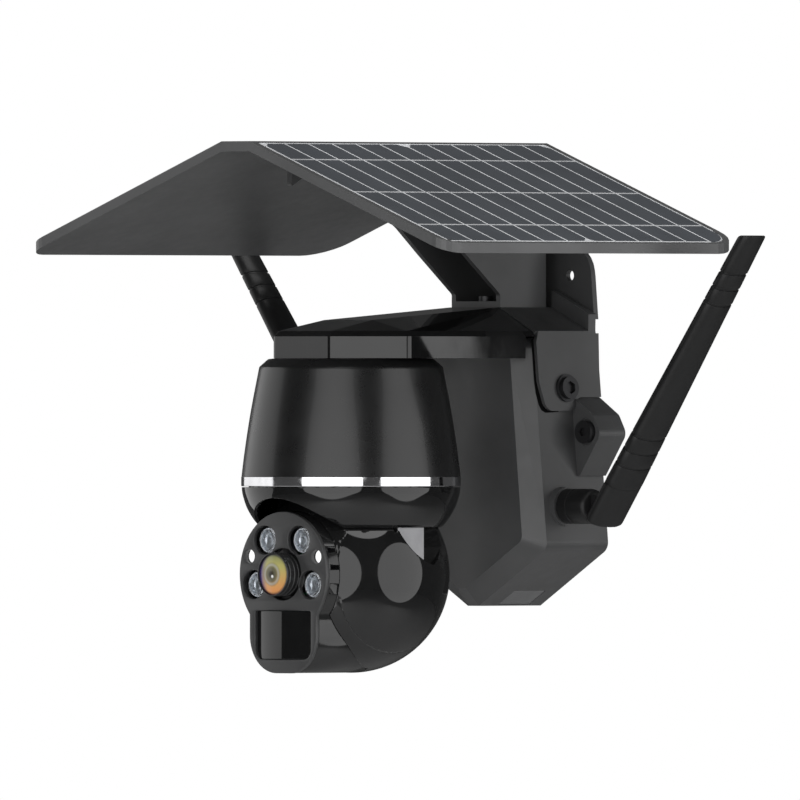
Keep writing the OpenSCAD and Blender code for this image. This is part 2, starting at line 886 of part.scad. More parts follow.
// Outline of the eye plate moved in by d: a circle with a tongue below it
module keyhole(d) {
    r = eye_r - d;
    half = tongue_half - d;
    low = tongue_low + d;
    join = -acos(half / r);
    steps = 48;
    polygon(concat(
        [for (i = [0:steps]) let (a = join + i * (180 - 2 * join) / steps) r * [cos(a), sin(a)]],
        corner([-half, 0], [-half, low, tongue_corner - d], [half, low]),
        corner([-half, low], [half, low, tongue_corner - d], [half, 0])
    ));
}

// Everything in the ball that makes room for the eye module
module eye_room() {
    along_y(-60, housing_back + 0.3) keyhole(-0.2);
    block([-tongue_half - 0.2, -60, -52], [tongue_half + 0.2, 0, -33]);
}

// Slice of a ball between two distances along the tilt axis
module ball_slice(radius, x0, x1) {
    steps = 18;
    first = acos(x0 / radius);
    last = acos(x1 / radius);
    rotate([0, 90, 0]) rotate_extrude($fn = 96) polygon(concat(
        [[0, x0]],
        [for (i = [0:steps]) let (a = first + (last - first) * i / steps) radius * [sin(a), cos(a)]],
        x1 < radius ? [[0, x1]] : []
    ));
}

module ball_shell() {
    half = slice_half - 0.1;
    color(colour_gloss) at_eye() difference() {
        ball_slice(ball_r, -half, half);
        ball_slice(ball_r - ball_wall, -half - 1, half + 1);
        eye_room();
    }
}

// Room for a yoke arm over the whole tilt, in the plane across the tilt axis
function slot_points() =
    let (far = 80)
    let (room = arm_half + 0.5)
    let (up = [sin(tilt_low), cos(tilt_low)])
    let (left = room * [-cos(tilt_low), sin(tilt_low)])
    concat([left + far * up, far * [1, 1], [far, -room]],
           [for (i = [0:8]) room * [cos(270 - i * (90 + tilt_low) / 8), sin(270 - i * (90 + tilt_low) / 8)]]);

module ball_cap() {
    inner = ball_r - ball_wall;
    lid = arm_x[1] + 0.4;
    color(colour_gloss) at_eye() difference() {
        ball_slice(ball_r, slice_half + 0.1, ball_r);
        ball_slice(inner, slice_half - 1, slot_x - 2.2);
        eye_room();
        along_x(slot_x, lid) polygon(slot_points());
        along_x(lid - 0.05, 60) difference() {
            polygon(slot_points());
            circle(arm_half + 1);
        }
        rod_x(pin_r, slice_half, lid);
    }
}

module ball_cap_right() {
    ball_cap();
}

module ball_cap_left() {
    mirror([1, 0, 0]) ball_cap();
}

module tilt_motor() {
    color(colour_steel) at_eye() {
        rod_x(10, 20, 33.9);
        block([32.9, -14, -3.2], [33.9, 14, 3.2]);
    }
}

module tilt_shafts() {
    color([0.75, 0.62, 0.3]) at_eye() {
        rod_x(pin_r, 34, arm_x[1]);
        rod_x(pin_r, -arm_x[1], -34);
    }
}

// ---------- eye module ----------

plate_back = eye_front + 2.3;
housing_wall = 2;
led_at = [[-12.2, 17], [12.2, 17], [-20.3, -5.15], [20.3, -5.15]];
led_hole_r = 6.9;
window_at = [[-24, 8.9], [24, 8.9]];
window_r = 3.45;
pir_low = [-20, -42.4];
pir_high = [20, -18.2];
pir_corner = 5;
lens_room_r = 13;

module eye_housing() {
    tongue_top = -33.2;
    color(colour_gloss) at_eye() difference() {
        union() {
            along_y(plate_back, housing_back) keyhole(0);
            intersection() {
                along_y(-30, -1) keyhole(0);
                block([-tongue_half, -30, -60], [tongue_half, -1, tongue_top]);
            }
        }
        along_y(plate_back - 1, housing_back - housing_wall) keyhole(housing_wall);
        for (z = [-6, 4, 14])
            both_sides() block([26, -43.5, z], [40, -41.5, z + 6]);
    }
}

// Outline of the motion sensor's window moved in by d
module pir_outline(d) {
    polygon(rounded([
        [pir_low.x + d, pir_low.y + d, pir_corner], [pir_high.x - d, pir_low.y + d, pir_corner],
        [pir_high.x - d, pir_high.y - d, 1], [pir_low.x + d, pir_high.y - d, 1]
    ]));
}

module eye_plate() {
    color(colour_gloss) at_eye() difference() {
        along_y(eye_front, plate_back) keyhole(0);
        rod_y(lens_room_r, eye_front - 1, plate_back + 1);
        for (at = led_at)
            translate([at.x, 0, at.y]) rod_y(led_hole_r, eye_front - 1, plate_back + 1);
        for (at = window_at)
            translate([at.x, 0, at.y]) rod_y(window_r, eye_front - 1, plate_back + 1);
        along_y(eye_front - 1, plate_back + 1) pir_outline(0);
    }
}

board_back = -34;
barrel_out = -54.6;
lens_seat = -51.5;

module lens_barrel() {
    color(colour_gloss) at_eye() difference() {
        union() {
            rod_y(10.9, barrel_out, -40);
            rod_y(8, -40.1, -29);
        }
        rod_y(8.7, barrel_out - 1, lens_seat);
        rod_y(4.5, barrel_out - 1, -28);
    }
}

// Front lens: its face bulges forward of its rim and its back is slightly hollow
module lens_glass() {
    rim = 8.65;
    bulge = 2.1;
    hollow = 0.8;
    steps = 10;
    color([0.3, 0.3, 0.5, 0.6]) at_eye() translate([0, lens_seat, 0]) rotate([90, 0, 0])
        rotate_extrude() polygon(concat(
            [for (i = [0:steps]) [rim * i / steps, hollow * (1 - pow(i / steps, 2))]],
            [for (i = [0:steps]) [rim * (1 - i / steps), 0.6 + bulge * (1 - pow(1 - i / steps, 2))]]
        ));
}

module led_board() {
    color([0.12, 0.12, 0.13]) at_eye() difference() {
        along_y(board_back - 1.6, board_back) difference() {
            keyhole(housing_wall + 0.3);
            translate([-26, -60]) square([52, 15]);
        }
        rod_y(11.3, -40, -30);
    }
}

module led_lenses() {
    color([0.6, 0.62, 0.68, 0.7]) at_eye() for (at = led_at) translate([at.x, 0, at.y]) {
        rod_y(6, board_back - 8, board_back - 1.6);
        intersection() {
            translate([0, board_back - 5, 0]) sphere(6.7, $fn = 48);
            rod_y(5.6, board_back - 12, board_back - 7.9);
        }
    }
}

module light_windows() {
    color([0.95, 0.95, 0.95]) at_eye() for (at = window_at) translate([at.x, 0, at.y])
        rod_y(window_r - 0.05, eye_front + 0.9, plate_back + 2);
}

module sensor_board() {
    color(colour_board) at_eye() {
        block([-17, -27.8, -17], [17, -26.2, 17]);
        block([-4, -28.9, -4], [4, -27.7, 4]);
    }
}

module pir_window() {
    arc_r = 60;
    color([0.1, 0.1, 0.1]) at_eye() intersection() {
        along_y(eye_front - 0.6, plate_back) pir_outline(fit);
        translate([0, eye_front - 0.4 + arc_r, 0]) rod_z(arc_r, -50, 0, $fn = 128);
    }
}

module pir_sensor() {
    color(colour_steel) at_eye() translate([0, 0, -30]) difference() {
        union() {
            rod_y(4.6, board_back - 5.8, board_back - 1.7);
            rod_y(5.1, board_back - 2.4, board_back - 1.6);
        }
        block([-2, -50, -1.5], [2, board_back - 5, 1.5]);
    }
}

wall_bracket();
bracket_bolts();
roof_neck();
neck_screws();
roof_tray();
roof_screws();
solar_sheet_left();
solar_sheet_right();
solar_cells_left();
solar_cells_right();
box_front_shell();
box_rear_shell();
box_gasket();
shell_screws();
battery_holder();
battery_cells();
main_board();
board_screws();
speaker();
port_board();
usb_socket();
card_slot();
port_cover();
reset_button();
antenna_jacks();
antenna_knuckle_left();
antenna_knuckle_right();
antenna_left();
antenna_right();
arm_base();
arm_cover();
arm_screws();
dome_housing();
trim_ring();
pan_base();
pan_motor();
pan_bearing();
pan_shaft();
pan_plate();
pan_bowl();
bowl_screws();
yoke();
ball_shell();
ball_cap_left();
ball_cap_right();
tilt_motor();
tilt_shafts();
eye_housing();
eye_plate();
lens_barrel();
lens_glass();
sensor_board();
led_board();
led_lenses();
light_windows();
pir_window();
pir_sensor();
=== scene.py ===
"""Looks of the wall-mounted solar security camera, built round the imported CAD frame. Units are metres."""
import json
import math

import bmesh
import bpy
from mathutils import Matrix, Vector


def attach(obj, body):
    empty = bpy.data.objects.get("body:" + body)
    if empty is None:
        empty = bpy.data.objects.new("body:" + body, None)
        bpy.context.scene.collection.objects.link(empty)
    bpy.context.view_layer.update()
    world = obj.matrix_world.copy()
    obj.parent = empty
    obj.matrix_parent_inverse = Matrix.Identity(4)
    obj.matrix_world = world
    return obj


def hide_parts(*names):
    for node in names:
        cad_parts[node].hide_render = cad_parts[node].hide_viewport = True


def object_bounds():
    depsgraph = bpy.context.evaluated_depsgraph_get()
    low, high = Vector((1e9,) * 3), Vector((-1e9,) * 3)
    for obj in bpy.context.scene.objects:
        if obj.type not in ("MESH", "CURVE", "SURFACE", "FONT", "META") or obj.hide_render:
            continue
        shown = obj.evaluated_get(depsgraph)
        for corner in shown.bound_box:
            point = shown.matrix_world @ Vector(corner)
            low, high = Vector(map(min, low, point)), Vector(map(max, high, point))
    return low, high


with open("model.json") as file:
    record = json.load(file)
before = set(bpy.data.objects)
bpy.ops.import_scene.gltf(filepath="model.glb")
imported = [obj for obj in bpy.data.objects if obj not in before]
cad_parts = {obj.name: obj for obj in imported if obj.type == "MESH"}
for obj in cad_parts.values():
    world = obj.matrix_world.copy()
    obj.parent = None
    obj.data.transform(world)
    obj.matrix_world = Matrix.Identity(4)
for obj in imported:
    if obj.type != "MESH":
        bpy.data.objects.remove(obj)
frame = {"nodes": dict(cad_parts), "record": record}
cad_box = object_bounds()
NODES = frame["nodes"]
JOINTS = {joint["name"]: joint for joint in frame["record"]["behaviour"]["joints"]}
EYE = Vector(JOINTS["pan"]["pos_m"])
MM = 0.001


def at(x, y, z):
    """A point given in millimetres from the eye point, where the pan and tilt axes cross."""
    return EYE + Vector((x, y, z)) * MM


# ---------- materials ----------

class Shader:
    """A small helper that adds nodes to one material and links them."""

    def __init__(self, name):
        self.material = bpy.data.materials.new(name)
        self.material.use_nodes = True
        self.nodes = self.material.node_tree.nodes
        self.links = self.material.node_tree.links
        self.bsdf = self.nodes["Principled BSDF"]
        self.coords = self.nodes.new("ShaderNodeTexCoord").outputs["Object"]

    def set(self, **values):
        for key, value in values.items():
            self.bsdf.inputs[key.replace("_", " ")].default_value = value
        return self

    def link(self, output, key):
        self.links.new(output, self.bsdf.inputs[key])

    def node(self, kind, inputs=(), **settings):
        made = self.nodes.new(kind)
        for key, value in settings.items():
            setattr(made, key, value)
        for key, value in dict(inputs).items():
            if isinstance(value, bpy.types.NodeSocket):
                self.links.new(value, made.inputs[key])
            else:
                made.inputs[key].default_value = value
        return made

    def noise(self, scale, detail=3.0, roughness=0.55, coords=None):
        made = self.node("ShaderNodeTexNoise", {"Vector": coords or self.coords, "Scale": scale,
                                                "Detail": detail, "Roughness": roughness})
        return made.outputs["Fac"]

    def remap(self, value, low, high, to_low, to_high):
        made = self.node("ShaderNodeMapRange", {"Value": value, "From Min": low, "From Max": high,
                                                "To Min": to_low, "To Max": to_high})
        return made.outputs["Result"]

    def blend(self, factor, first, second):
        made = self.node("ShaderNodeMix", data_type="RGBA")
        for socket, value in zip((made.inputs[0], made.inputs[6], made.inputs[7]), (factor, first, second)):
            if isinstance(value, bpy.types.NodeSocket):
                self.links.new(value, socket)
            else:
                socket.default_value = value
        return made.outputs[2]

    def math(self, operation, first, second=0.0, clamp=False):
        made = self.node("ShaderNodeMath", {0: first, 1: second}, operation=operation)
        made.use_clamp = clamp
        return made.outputs[0]

    def bump(self, height, strength, distance, normal=None):
        made = self.node("ShaderNodeBump", {"Height": height, "Strength": strength, "Distance": distance})
        if normal is not None:
            self.links.new(normal, made.inputs["Normal"])
        return made.outputs["Normal"]

    def edges(self, radius):
        """1 on convex and concave edges within radius, 0 on open surfaces."""
        soft = self.node("ShaderNodeBevel", {"Radius": radius}, samples=4)
        true = self.node("ShaderNodeNewGeometry")
        dot = self.node("ShaderNodeVectorMath", {0: soft.outputs[0], 1: true.outputs["Normal"]},
                        operation="DOT_PRODUCT")
        return self.remap(dot.outputs["Value"], 0.995, 0.80, 0.0, 1.0)


def grey(value, tint=0.0):
    return (value, value * (1 + tint * 0.4), value * (1 + tint), 1.0)


def moulded(name, value, rough, grain=0.05, coat=0.0, tint=0.03, worn=0.25):
    """Moulded plastic: fine grain, faint flow variation, dust in the roughness and lighter worn edges."""
    m = Shader(name)
    flow = m.noise(22.0, 4.0)
    speck = m.noise(2600.0, 2.0)
    dust = m.noise(120.0, 6.0, 0.7)
    wear = m.math("MULTIPLY", m.edges(0.0007), m.remap(m.noise(260.0, 5.0, 0.7), 0.45, 0.65, 0.0, worn), True)
    body = m.blend(m.remap(flow, 0.35, 0.65, 0.0, 1.0), grey(value * 0.9, tint), grey(value * 1.12, tint))
    m.link(m.blend(wear, body, grey(min(1.0, value * 2.6 + 0.02), tint)), "Base Color")
    m.link(m.math("ADD", m.remap(dust, 0.35, 0.7, rough - 0.04, rough + 0.05), m.math("MULTIPLY", wear, 0.15)),
           "Roughness")
    m.link(m.bump(speck, grain, 0.00006, m.bump(flow, 0.02, 0.0004)), "Normal")
    return m.set(Coat_Weight=coat, Coat_Roughness=0.05, IOR=1.5).material


def glossy(name, value, rough, tint=0.04):
    """High-gloss moulding: a mirror-like skin with faint haze, hairline polish marks and a trace of dust."""
    m = Shader(name)
    haze = m.noise(60.0, 5.0, 0.65)
    lines = m.noise(900.0, 2.0, 0.5, m.node("ShaderNodeMapping", {"Vector": m.coords, "Scale": (1.0, 1.0, 0.12)})
                    .outputs[0])
    dust = m.remap(m.noise(1800.0, 2.0), 0.70, 0.78, 0.0, 1.0)
    wear = m.math("MULTIPLY", m.edges(0.0005), 0.2, True)
    body = m.blend(m.remap(haze, 0.35, 0.65, 0.0, 1.0), grey(value * 0.85, tint), grey(value * 1.15, tint))
    body = m.blend(m.math("MULTIPLY", dust, 0.05), body, grey(0.10, tint))
    m.link(m.blend(wear, body, grey(value * 3 + 0.01, tint)), "Base Color")
    m.link(m.math("ADD", m.remap(haze, 0.3, 0.7, rough, rough + 0.05), m.math("MULTIPLY", dust, 0.05)), "Roughness")
    m.link(m.bump(lines, 0.012, 0.00005), "Normal")
    return m.set(IOR=1.5, Coat_Weight=0.1, Coat_Roughness=0.03).material


def metal(name, colour, rough, brushed=True, metallic=1.0):
    """Plated or turned metal with brushed streaks and faint stains."""
    m = Shader(name)
    stretch = (1.0, 1.0, 18.0) if brushed else (1.0, 1.0, 1.0)
    streaks = m.noise(380.0, 4.0, 0.6, m.node("ShaderNodeMapping", {"Vector": m.coords, "Scale": stretch}).outputs[0])
    stain = m.noise(90.0, 5.0, 0.6)
    dark = tuple(c * 0.82 for c in colour[:3]) + (1.0,)
    m.link(m.blend(m.remap(stain, 0.35, 0.7, 0.0, 1.0), colour, dark), "Base Color")
    m.link(m.remap(streaks, 0.3, 0.7, max(0.02, rough - 0.06), rough + 0.08), "Roughness")
    m.link(m.bump(streaks, 0.05, 0.00005), "Normal")
    return m.set(Metallic=metallic).material


def board(name, colour):
    """Solder mask with faint track relief."""
    m = Shader(name)
    tracks = m.node("ShaderNodeTexVoronoi", {"Vector": m.coords, "Scale": 420.0}, feature="DISTANCE_TO_EDGE")
    line = m.remap(tracks.outputs["Distance"], 0.02, 0.06, 1.0, 0.0)
    lighter = tuple(min(1.0, c * 1.6 + 0.01) for c in colour[:3]) + (1.0,)
    m.link(m.blend(m.math("MULTIPLY", line, 0.5), colour, lighter), "Base Color")
    m.link(m.remap(m.noise(300.0), 0.3, 0.7, 0.28, 0.4), "Roughness")
    m.link(m.bump(line, 0.1, 0.0001), "Normal")
    return m.set(Coat_Weight=0.2).material


def glass(name, colour, rough, weight=1.0, ior=1.5):
    """Clear moulded glass with slight waviness and smears."""
    m = Shader(name)
    smear = m.noise(180.0, 5.0, 0.6)
    m.link(m.remap(smear, 0.35, 0.7, rough, rough + 0.05), "Roughness")
    m.link(m.blend(m.remap(smear, 0.3, 0.7, 0.0, 1.0), colour, tuple(c * 0.92 for c in colour[:3]) + (1.0,)),
           "Base Color")
    m.link(m.bump(m.noise(90.0, 2.0), 0.01, 0.0002), "Normal")
    return m.set(Transmission_Weight=weight, IOR=ior).material


def painted_reflection_lens(name, centre, radius):
    """Front lens: the coating's colours laid on as a painted reflection that runs from yellow-green at the top over
    orange below to violet at the left, with a painted white highlight and rings inside.
    """
    m = Shader(name)
    local = m.node("ShaderNodeVectorMath", {0: m.coords, 1: at(*centre)}, operation="SUBTRACT").outputs[0]
    local = m.node("ShaderNodeVectorMath", {0: local, 1: (1000 / radius,) * 3}, operation="MULTIPLY").outputs[0]
    flat = m.node("ShaderNodeVectorMath", {0: local, 1: (1.0, 0.0, 1.0)}, operation="MULTIPLY").outputs[0]
    out = m.node("ShaderNodeVectorMath", {0: flat}, operation="LENGTH").outputs["Value"]
    split = m.node("ShaderNodeSeparateXYZ", {"Vector": local})
    across, up = split.outputs["X"], split.outputs["Z"]
    # Painted reflection: the coating's reflected colours set into the base colour by height and by side.
    painted_reflection_colour = m.blend(m.remap(up, -0.75, 0.35, 0.0, 1.0), (0.80, 0.36, 0.13, 1.0), (0.50, 0.46, 0.16, 1.0))
    painted_reflection_colour = m.blend(m.remap(up, 0.45, 0.95, 0.0, 0.75), painted_reflection_colour, (0.20, 0.24, 0.14, 1.0))
    painted_reflection_colour = m.blend(m.remap(across, -0.35, -0.85, 0.0, 1.0), painted_reflection_colour, (0.075, 0.05, 0.20, 1.0))
    core = m.blend(m.remap(out, 0.10, 0.24, 0.0, 1.0), (0.035, 0.03, 0.02, 1.0), (0.15, 0.14, 0.09, 1.0))
    ring = m.remap(m.math("ABSOLUTE", m.math("SUBTRACT", out, 0.47)), 0.03, 0.09, 1.0, 0.0)
    colour = m.blend(m.remap(out, 0.30, 0.44, 0.0, 1.0), core, m.blend(0.35, (0.18, 0.17, 0.12, 1.0), painted_reflection_colour))
    colour = m.blend(m.remap(out, 0.50, 0.62, 0.0, 1.0), colour, painted_reflection_colour)
    colour = m.blend(m.math("MULTIPLY", ring, 0.5), colour, (0.52, 0.52, 0.48, 1.0))
    colour = m.blend(m.remap(out, 0.86, 1.0, 0.0, 1.0), colour, (0.02, 0.015, 0.05, 1.0))
    # Painted highlight: a small white spot just below and right of the lens's middle.
    painted_glint = m.node("ShaderNodeVectorMath", {0: flat, 1: (0.08, 0.0, -0.10)}, operation="SUBTRACT").outputs[0]
    painted_glint = m.node("ShaderNodeVectorMath", {0: painted_glint}, operation="LENGTH").outputs["Value"]
    colour = m.blend(m.remap(painted_glint, 0.04, 0.10, 1.0, 0.0), colour, (1.0, 1.0, 0.97, 1.0))
    smear = m.noise(260.0, 4.0)
    m.link(colour, "Base Color")
    m.link(m.remap(smear, 0.3, 0.7, 0.03, 0.07), "Roughness")
    m.link(m.bump(smear, 0.005, 0.0001), "Normal")
    return m.set(IOR=1.35, Coat_Weight=0.15, Coat_Roughness=0.02).material


MATERIALS = {
    "shell_black": moulded("shell_black", 0.054, 0.36, 0.08),
    "roof_black": moulded("roof_black", 0.082, 0.38, 0.06, worn=0.15),
    "gloss_black": glossy("gloss_black", 0.008, 0.02),
    "satin_black": moulded("satin_black", 0.020, 0.30, 0.04, coat=0.1),
    "antenna_black": moulded("antenna_black", 0.010, 0.40, 0.06),
    "chrome_trim": metal("chrome_trim", (0.92, 0.92, 0.94, 1.0), 0.07, brushed=False),
    "steel": metal("steel", (0.55, 0.55, 0.57, 1.0), 0.32),
    "black_steel": metal("black_steel", (0.045, 0.045, 0.047, 1.0), 0.36, metallic=0.8),
    "grey_steel": metal("grey_steel", (0.30, 0.30, 0.31, 1.0), 0.36),
    "brass": metal("brass", (0.62, 0.45, 0.2, 1.0), 0.3),
    "board_green": board("board_green", (0.02, 0.14, 0.06, 1.0)),
    "board_black": board("board_black", (0.012, 0.012, 0.014, 1.0)),
    "battery_wrap": moulded("battery_wrap", 0.05, 0.25, 0.02, coat=0.3, tint=3.0),
    "dark_plastic": moulded("dark_plastic", 0.028, 0.45, 0.10),
    "rubber_seal": moulded("rubber_seal", 0.024, 0.6, 0.14),
    "red_plastic": moulded("red_plastic", 0.1, 0.4, 0.05, tint=-0.9),
    "white_plastic": moulded("white_plastic", 0.85, 0.35, 0.03, tint=0.01, worn=0.0),
    "sheet_white": moulded("sheet_white", 0.62, 0.25, 0.02, tint=0.04, worn=0.0),
    "led_glass": glass("led_glass", (0.88, 0.91, 0.94, 1.0), 0.04),
    "coated_glass": glass("coated_glass", (0.75, 0.8, 0.9, 1.0), 0.01, ior=1.6),
    "solar_cell": moulded("solar_cell", 0.075, 0.3, 0.01, coat=0.2, tint=0.25, worn=0.0),
    "window_glass": glossy("window_glass", 0.006, 0.03),
    # Near-black and matt: the material of the painted shadow strips beside the bracket's cheeks.
    "painted_shadow_black": moulded("painted_shadow_black", 0.003, 0.85, 0.0, worn=0.0),
    "face_black": moulded("face_black", 0.045, 0.40, 0.05, worn=0.15),
    "dome_black": glossy("dome_black", 0.008, 0.26),
    "can_black": glossy("can_black", 0.010, 0.10),
    "cover_rubber": moulded("cover_rubber", 0.13, 0.5, 0.10),
    "lens_coating": painted_reflection_lens("lens_coating", (0, -54, 0), 10.25),
    "led_cup": metal("led_cup", (0.80, 0.82, 0.85, 1.0), 0.30, brushed=False),
    "painted_glow_white": moulded("painted_glow_white", 0.88, 0.3, 0.02, tint=0.01, worn=0.0),
    "line_white": moulded("line_white", 0.85, 0.3, 0.02, worn=0.0),
    "busbar": moulded("busbar", 0.60, 0.3, 0.02, worn=0.0),
}


def finish_node(name, material):
    """Gives a CAD node's object a material in every slot."""
    mesh_object = NODES[name]
    if not mesh_object.material_slots:
        mesh_object.data.materials.append(MATERIALS[material])
    for slot in mesh_object.material_slots:
        slot.link = "OBJECT"
        slot.material = MATERIALS[material]


MATERIALS["antenna_black"].node_tree.nodes["Principled BSDF"].inputs["Specular IOR Level"].default_value = 0.28
# The painted shadow strips keep almost no specular reflection.
MATERIALS["painted_shadow_black"].node_tree.nodes["Principled BSDF"].inputs["Specular IOR Level"].default_value = 0.06
# Painted light: the light panes are given a glow so they read white inside their shaded recesses.
MATERIALS["painted_glow_white"].node_tree.nodes["Principled BSDF"].inputs["Emission Color"].default_value = (1, 1, 1, 1)
MATERIALS["painted_glow_white"].node_tree.nodes["Principled BSDF"].inputs["Emission Strength"].default_value = 0.7
FINISHES = {"yoke": "grey_steel", "neck_screws": "black_steel", "roof_screws": "black_steel",
            "arm_cover": "gloss_black", "port_cover": "cover_rubber", "shell_screws": "black_steel",
            "bracket_bolts": "black_steel"}

for entry in frame["record"]["subparts"]:
    finish_node(entry["node"], FINISHES.get(entry["node"], entry["material_slot"]))


def soften(name, width=0.5, segments=3, angle=30.0):
    """Rounds a CAD node's edges with modifiers; its own mesh stays as it is."""
    mesh_object = NODES[name]
    flat = mesh_object.modifiers.new("flat", "DECIMATE")
    flat.decimate_type = "DISSOLVE"
    flat.angle_limit = math.radians(0.6)
    round_off = mesh_object.modifiers.new("round_off", "BEVEL")
    round_off.width = width * MM
    round_off.segments = segments
    round_off.limit_method = "ANGLE"
    round_off.angle_limit = math.radians(angle)
    round_off.harden_normals = True


for softened in ("roof_tray", "box_front_shell", "box_rear_shell", "wall_bracket", "roof_neck", "arm_base"):
    soften(softened)

# ---------- making pieces ----------

def link_mesh(name, vertices, faces):
    data = bpy.data.meshes.new(name)
    data.from_pydata([Vector(v) for v in vertices], [], faces)
    data.update()
    made = bpy.data.objects.new(name, data)
    bpy.context.scene.collection.objects.link(made)
    return made


def smooth(made, angle=32.0):
    data = made.data
    data.polygons.foreach_set("use_smooth", [True] * len(data.polygons))
    data.set_sharp_from_angle(angle=math.radians(angle))


def settle(made):
    """Applies a piece's modifiers to its mesh."""
    graph = bpy.context.evaluated_depsgraph_get()
    data = bpy.data.meshes.new_from_object(made.evaluated_get(graph))
    made.modifiers.clear()
    made.data = data


def round_edges(made, width, segments=3, angle=35.0):
    bevel = made.modifiers.new("round_off", "BEVEL")
    bevel.width = width * MM
    bevel.segments = segments
    bevel.limit_method = "ANGLE"
    bevel.angle_limit = math.radians(angle)
    bevel.harden_normals = True


def cut(made, cutter, keep=False):
    boolean = made.modifiers.new("cut", "BOOLEAN")
    boolean.operation = "DIFFERENCE"
    boolean.solver = "EXACT"
    boolean.object = cutter
    settle(made)
    if not keep:
        bpy.data.objects.remove(cutter)


def place(made, material, body, *replaced, slot=None):
    """Gives a piece its material, its body and the CAD nodes it stands for; slot is not used."""
    made.data.materials.clear()
    made.data.materials.append(MATERIALS[material])
    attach(made, body)
    if replaced:
        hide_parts(*replaced)
    return made


def lathe(name, profile, axis="Z", centre=(0, 0, 0), segments=160):
    """A closed solid of revolution. The profile is a closed loop of (radius, distance along the axis) in mm."""
    turn = {"Z": Matrix(), "X": Matrix.Rotation(math.pi / 2, 4, "Y"), "Y": Matrix.Rotation(-math.pi / 2, 4, "X")}[axis]
    vertices, faces, rows = [], [], []
    for radius, along in profile:
        if radius < 1e-6:
            rows.append([len(vertices)] * segments)
            vertices.append((0, 0, along))
            continue
        rows.append(list(range(len(vertices), len(vertices) + segments)))
        for i in range(segments):
            a = 2 * math.pi * i / segments
            vertices.append((radius * math.cos(a), radius * math.sin(a), along))
    count = len(rows)
    for j in range(count):
        here, after = rows[j], rows[(j + 1) % count]
        for i in range(segments):
            k = (i + 1) % segments
            corners = [here[i], here[k], after[k], after[i]]
            face = [v for n, v in enumerate(corners) if v != corners[n - 1]]
            if len(set(face)) >= 3:
                faces.append(face)
    points = [at(*(turn @ Vector(v) + Vector(centre))) for v in vertices]
    made = link_mesh(name, points, faces)
    mesh = bmesh.new()
    mesh.from_mesh(made.data)
    bmesh.ops.recalc_face_normals(mesh, faces=mesh.faces)
    mesh.to_mesh(made.data)
    mesh.free()
    return made


def curve_through(points, steps=6):
    """Smooth run of points through the given ones (Catmull-Rom)."""
    out = []
    for i in range(len(points) - 1):
        p0, p1 = Vector(points[max(i - 1, 0)]), Vector(points[i])
        p2, p3 = Vector(points[i + 1]), Vector(points[min(i + 2, len(points) - 1)])
        for s in range(steps):
            t = s / steps
            out.append(0.5 * ((2 * p1) + (p2 - p0) * t + (2 * p0 - 5 * p1 + 4 * p2 - p3) * t * t
                              + (3 * p1 - p0 - 3 * p2 + p3) * t ** 3))
    out.append(Vector(points[-1]))
    return [tuple(p) for p in out]


def arc(centre, radius, start, end, steps=24):
    """Points on an arc; angles in degrees."""
    return [(centre[0] + radius * math.cos(math.radians(start + (end - start) * i / steps)),
             centre[1] + radius * math.sin(math.radians(start + (end - start) * i / steps)))
            for i in range(steps + 1)]


def circle(centre, radius, steps=72):
    return arc(centre, radius, 0, 360, steps)[:-1]


def front_plate(name, loops, back, front, bevel=0.3):
    """A plate facing -Y between two depths, from closed (x, z) loops in mm; the first is its outline."""
    data = bpy.data.curves.new(name, "CURVE")
    data.dimensions = "2D"
    data.fill_mode = "BOTH"
    for loop in loops:
        spline = data.splines.new("POLY")
        spline.points.add(len(loop) - 1)
        spline.use_cyclic_u = True
        for point, (x, z) in zip(spline.points, loop):
            point.co = (x, z, 0, 1)
    data.extrude = abs(back - front) / 2 - bevel
    data.bevel_depth = bevel
    data.bevel_resolution = 2
    data.offset = -bevel
    source = bpy.data.objects.new(name, data)
    bpy.context.scene.collection.objects.link(source)
    graph = bpy.context.evaluated_depsgraph_get()
    mesh = bpy.data.meshes.new_from_object(source.evaluated_get(graph))
    bpy.data.objects.remove(source)
    made = bpy.data.objects.new(name, mesh)
    bpy.context.scene.collection.objects.link(made)
    middle = (back + front) / 2
    for vertex in mesh.vertices:
        x, z, out = vertex.co
        vertex.co = at(x, middle - out, z)
    weld = bmesh.new()
    weld.from_mesh(mesh)
    bmesh.ops.remove_doubles(weld, verts=weld.verts, dist=1e-6)
    bmesh.ops.recalc_face_normals(weld, faces=weld.faces)
    weld.to_mesh(mesh)
    weld.free()
    return made


def prism(name, outline, low, high, axis="Y"):
    """A straight prism from an outline; axis Y takes (x, z) points and X takes (y, z) points."""
    def put(a, b, depth):
        return at(a, depth, b) if axis == "Y" else at(depth, a, b)
    n = len(outline)
    vertices = [put(a, b, low) for a, b in outline] + [put(a, b, high) for a, b in outline]
    faces = [list(range(n)), list(range(2 * n - 1, n - 1, -1))]
    faces += [[i, n + i, n + (i + 1) % n, (i + 1) % n] for i in range(n)]
    made = link_mesh(name, vertices, faces)
    mesh = bmesh.new()
    mesh.from_mesh(made.data)
    bmesh.ops.recalc_face_normals(mesh, faces=mesh.faces)
    mesh.to_mesh(made.data)
    mesh.free()
    return made


def rod(name, radius, start, end, steps=64):
    """A straight round rod between two points in mm, with flat ends."""
    a, b = Vector(start), Vector(end)
    turn = (b - a).to_track_quat("Z", "Y").to_matrix()
    rings = [[at(*(p + turn @ Vector((x, y, 0)))) for x, y in circle((0, 0), radius, steps)] for p in (a, b)]
    n = steps
    faces = [list(range(n - 1, -1, -1)), list(range(n, 2 * n))]
    faces += [[i, (i + 1) % n, n + (i + 1) % n, n + i] for i in range(n)]
    return link_mesh(name, rings[0] + rings[1], faces)


# ---------- dome ----------

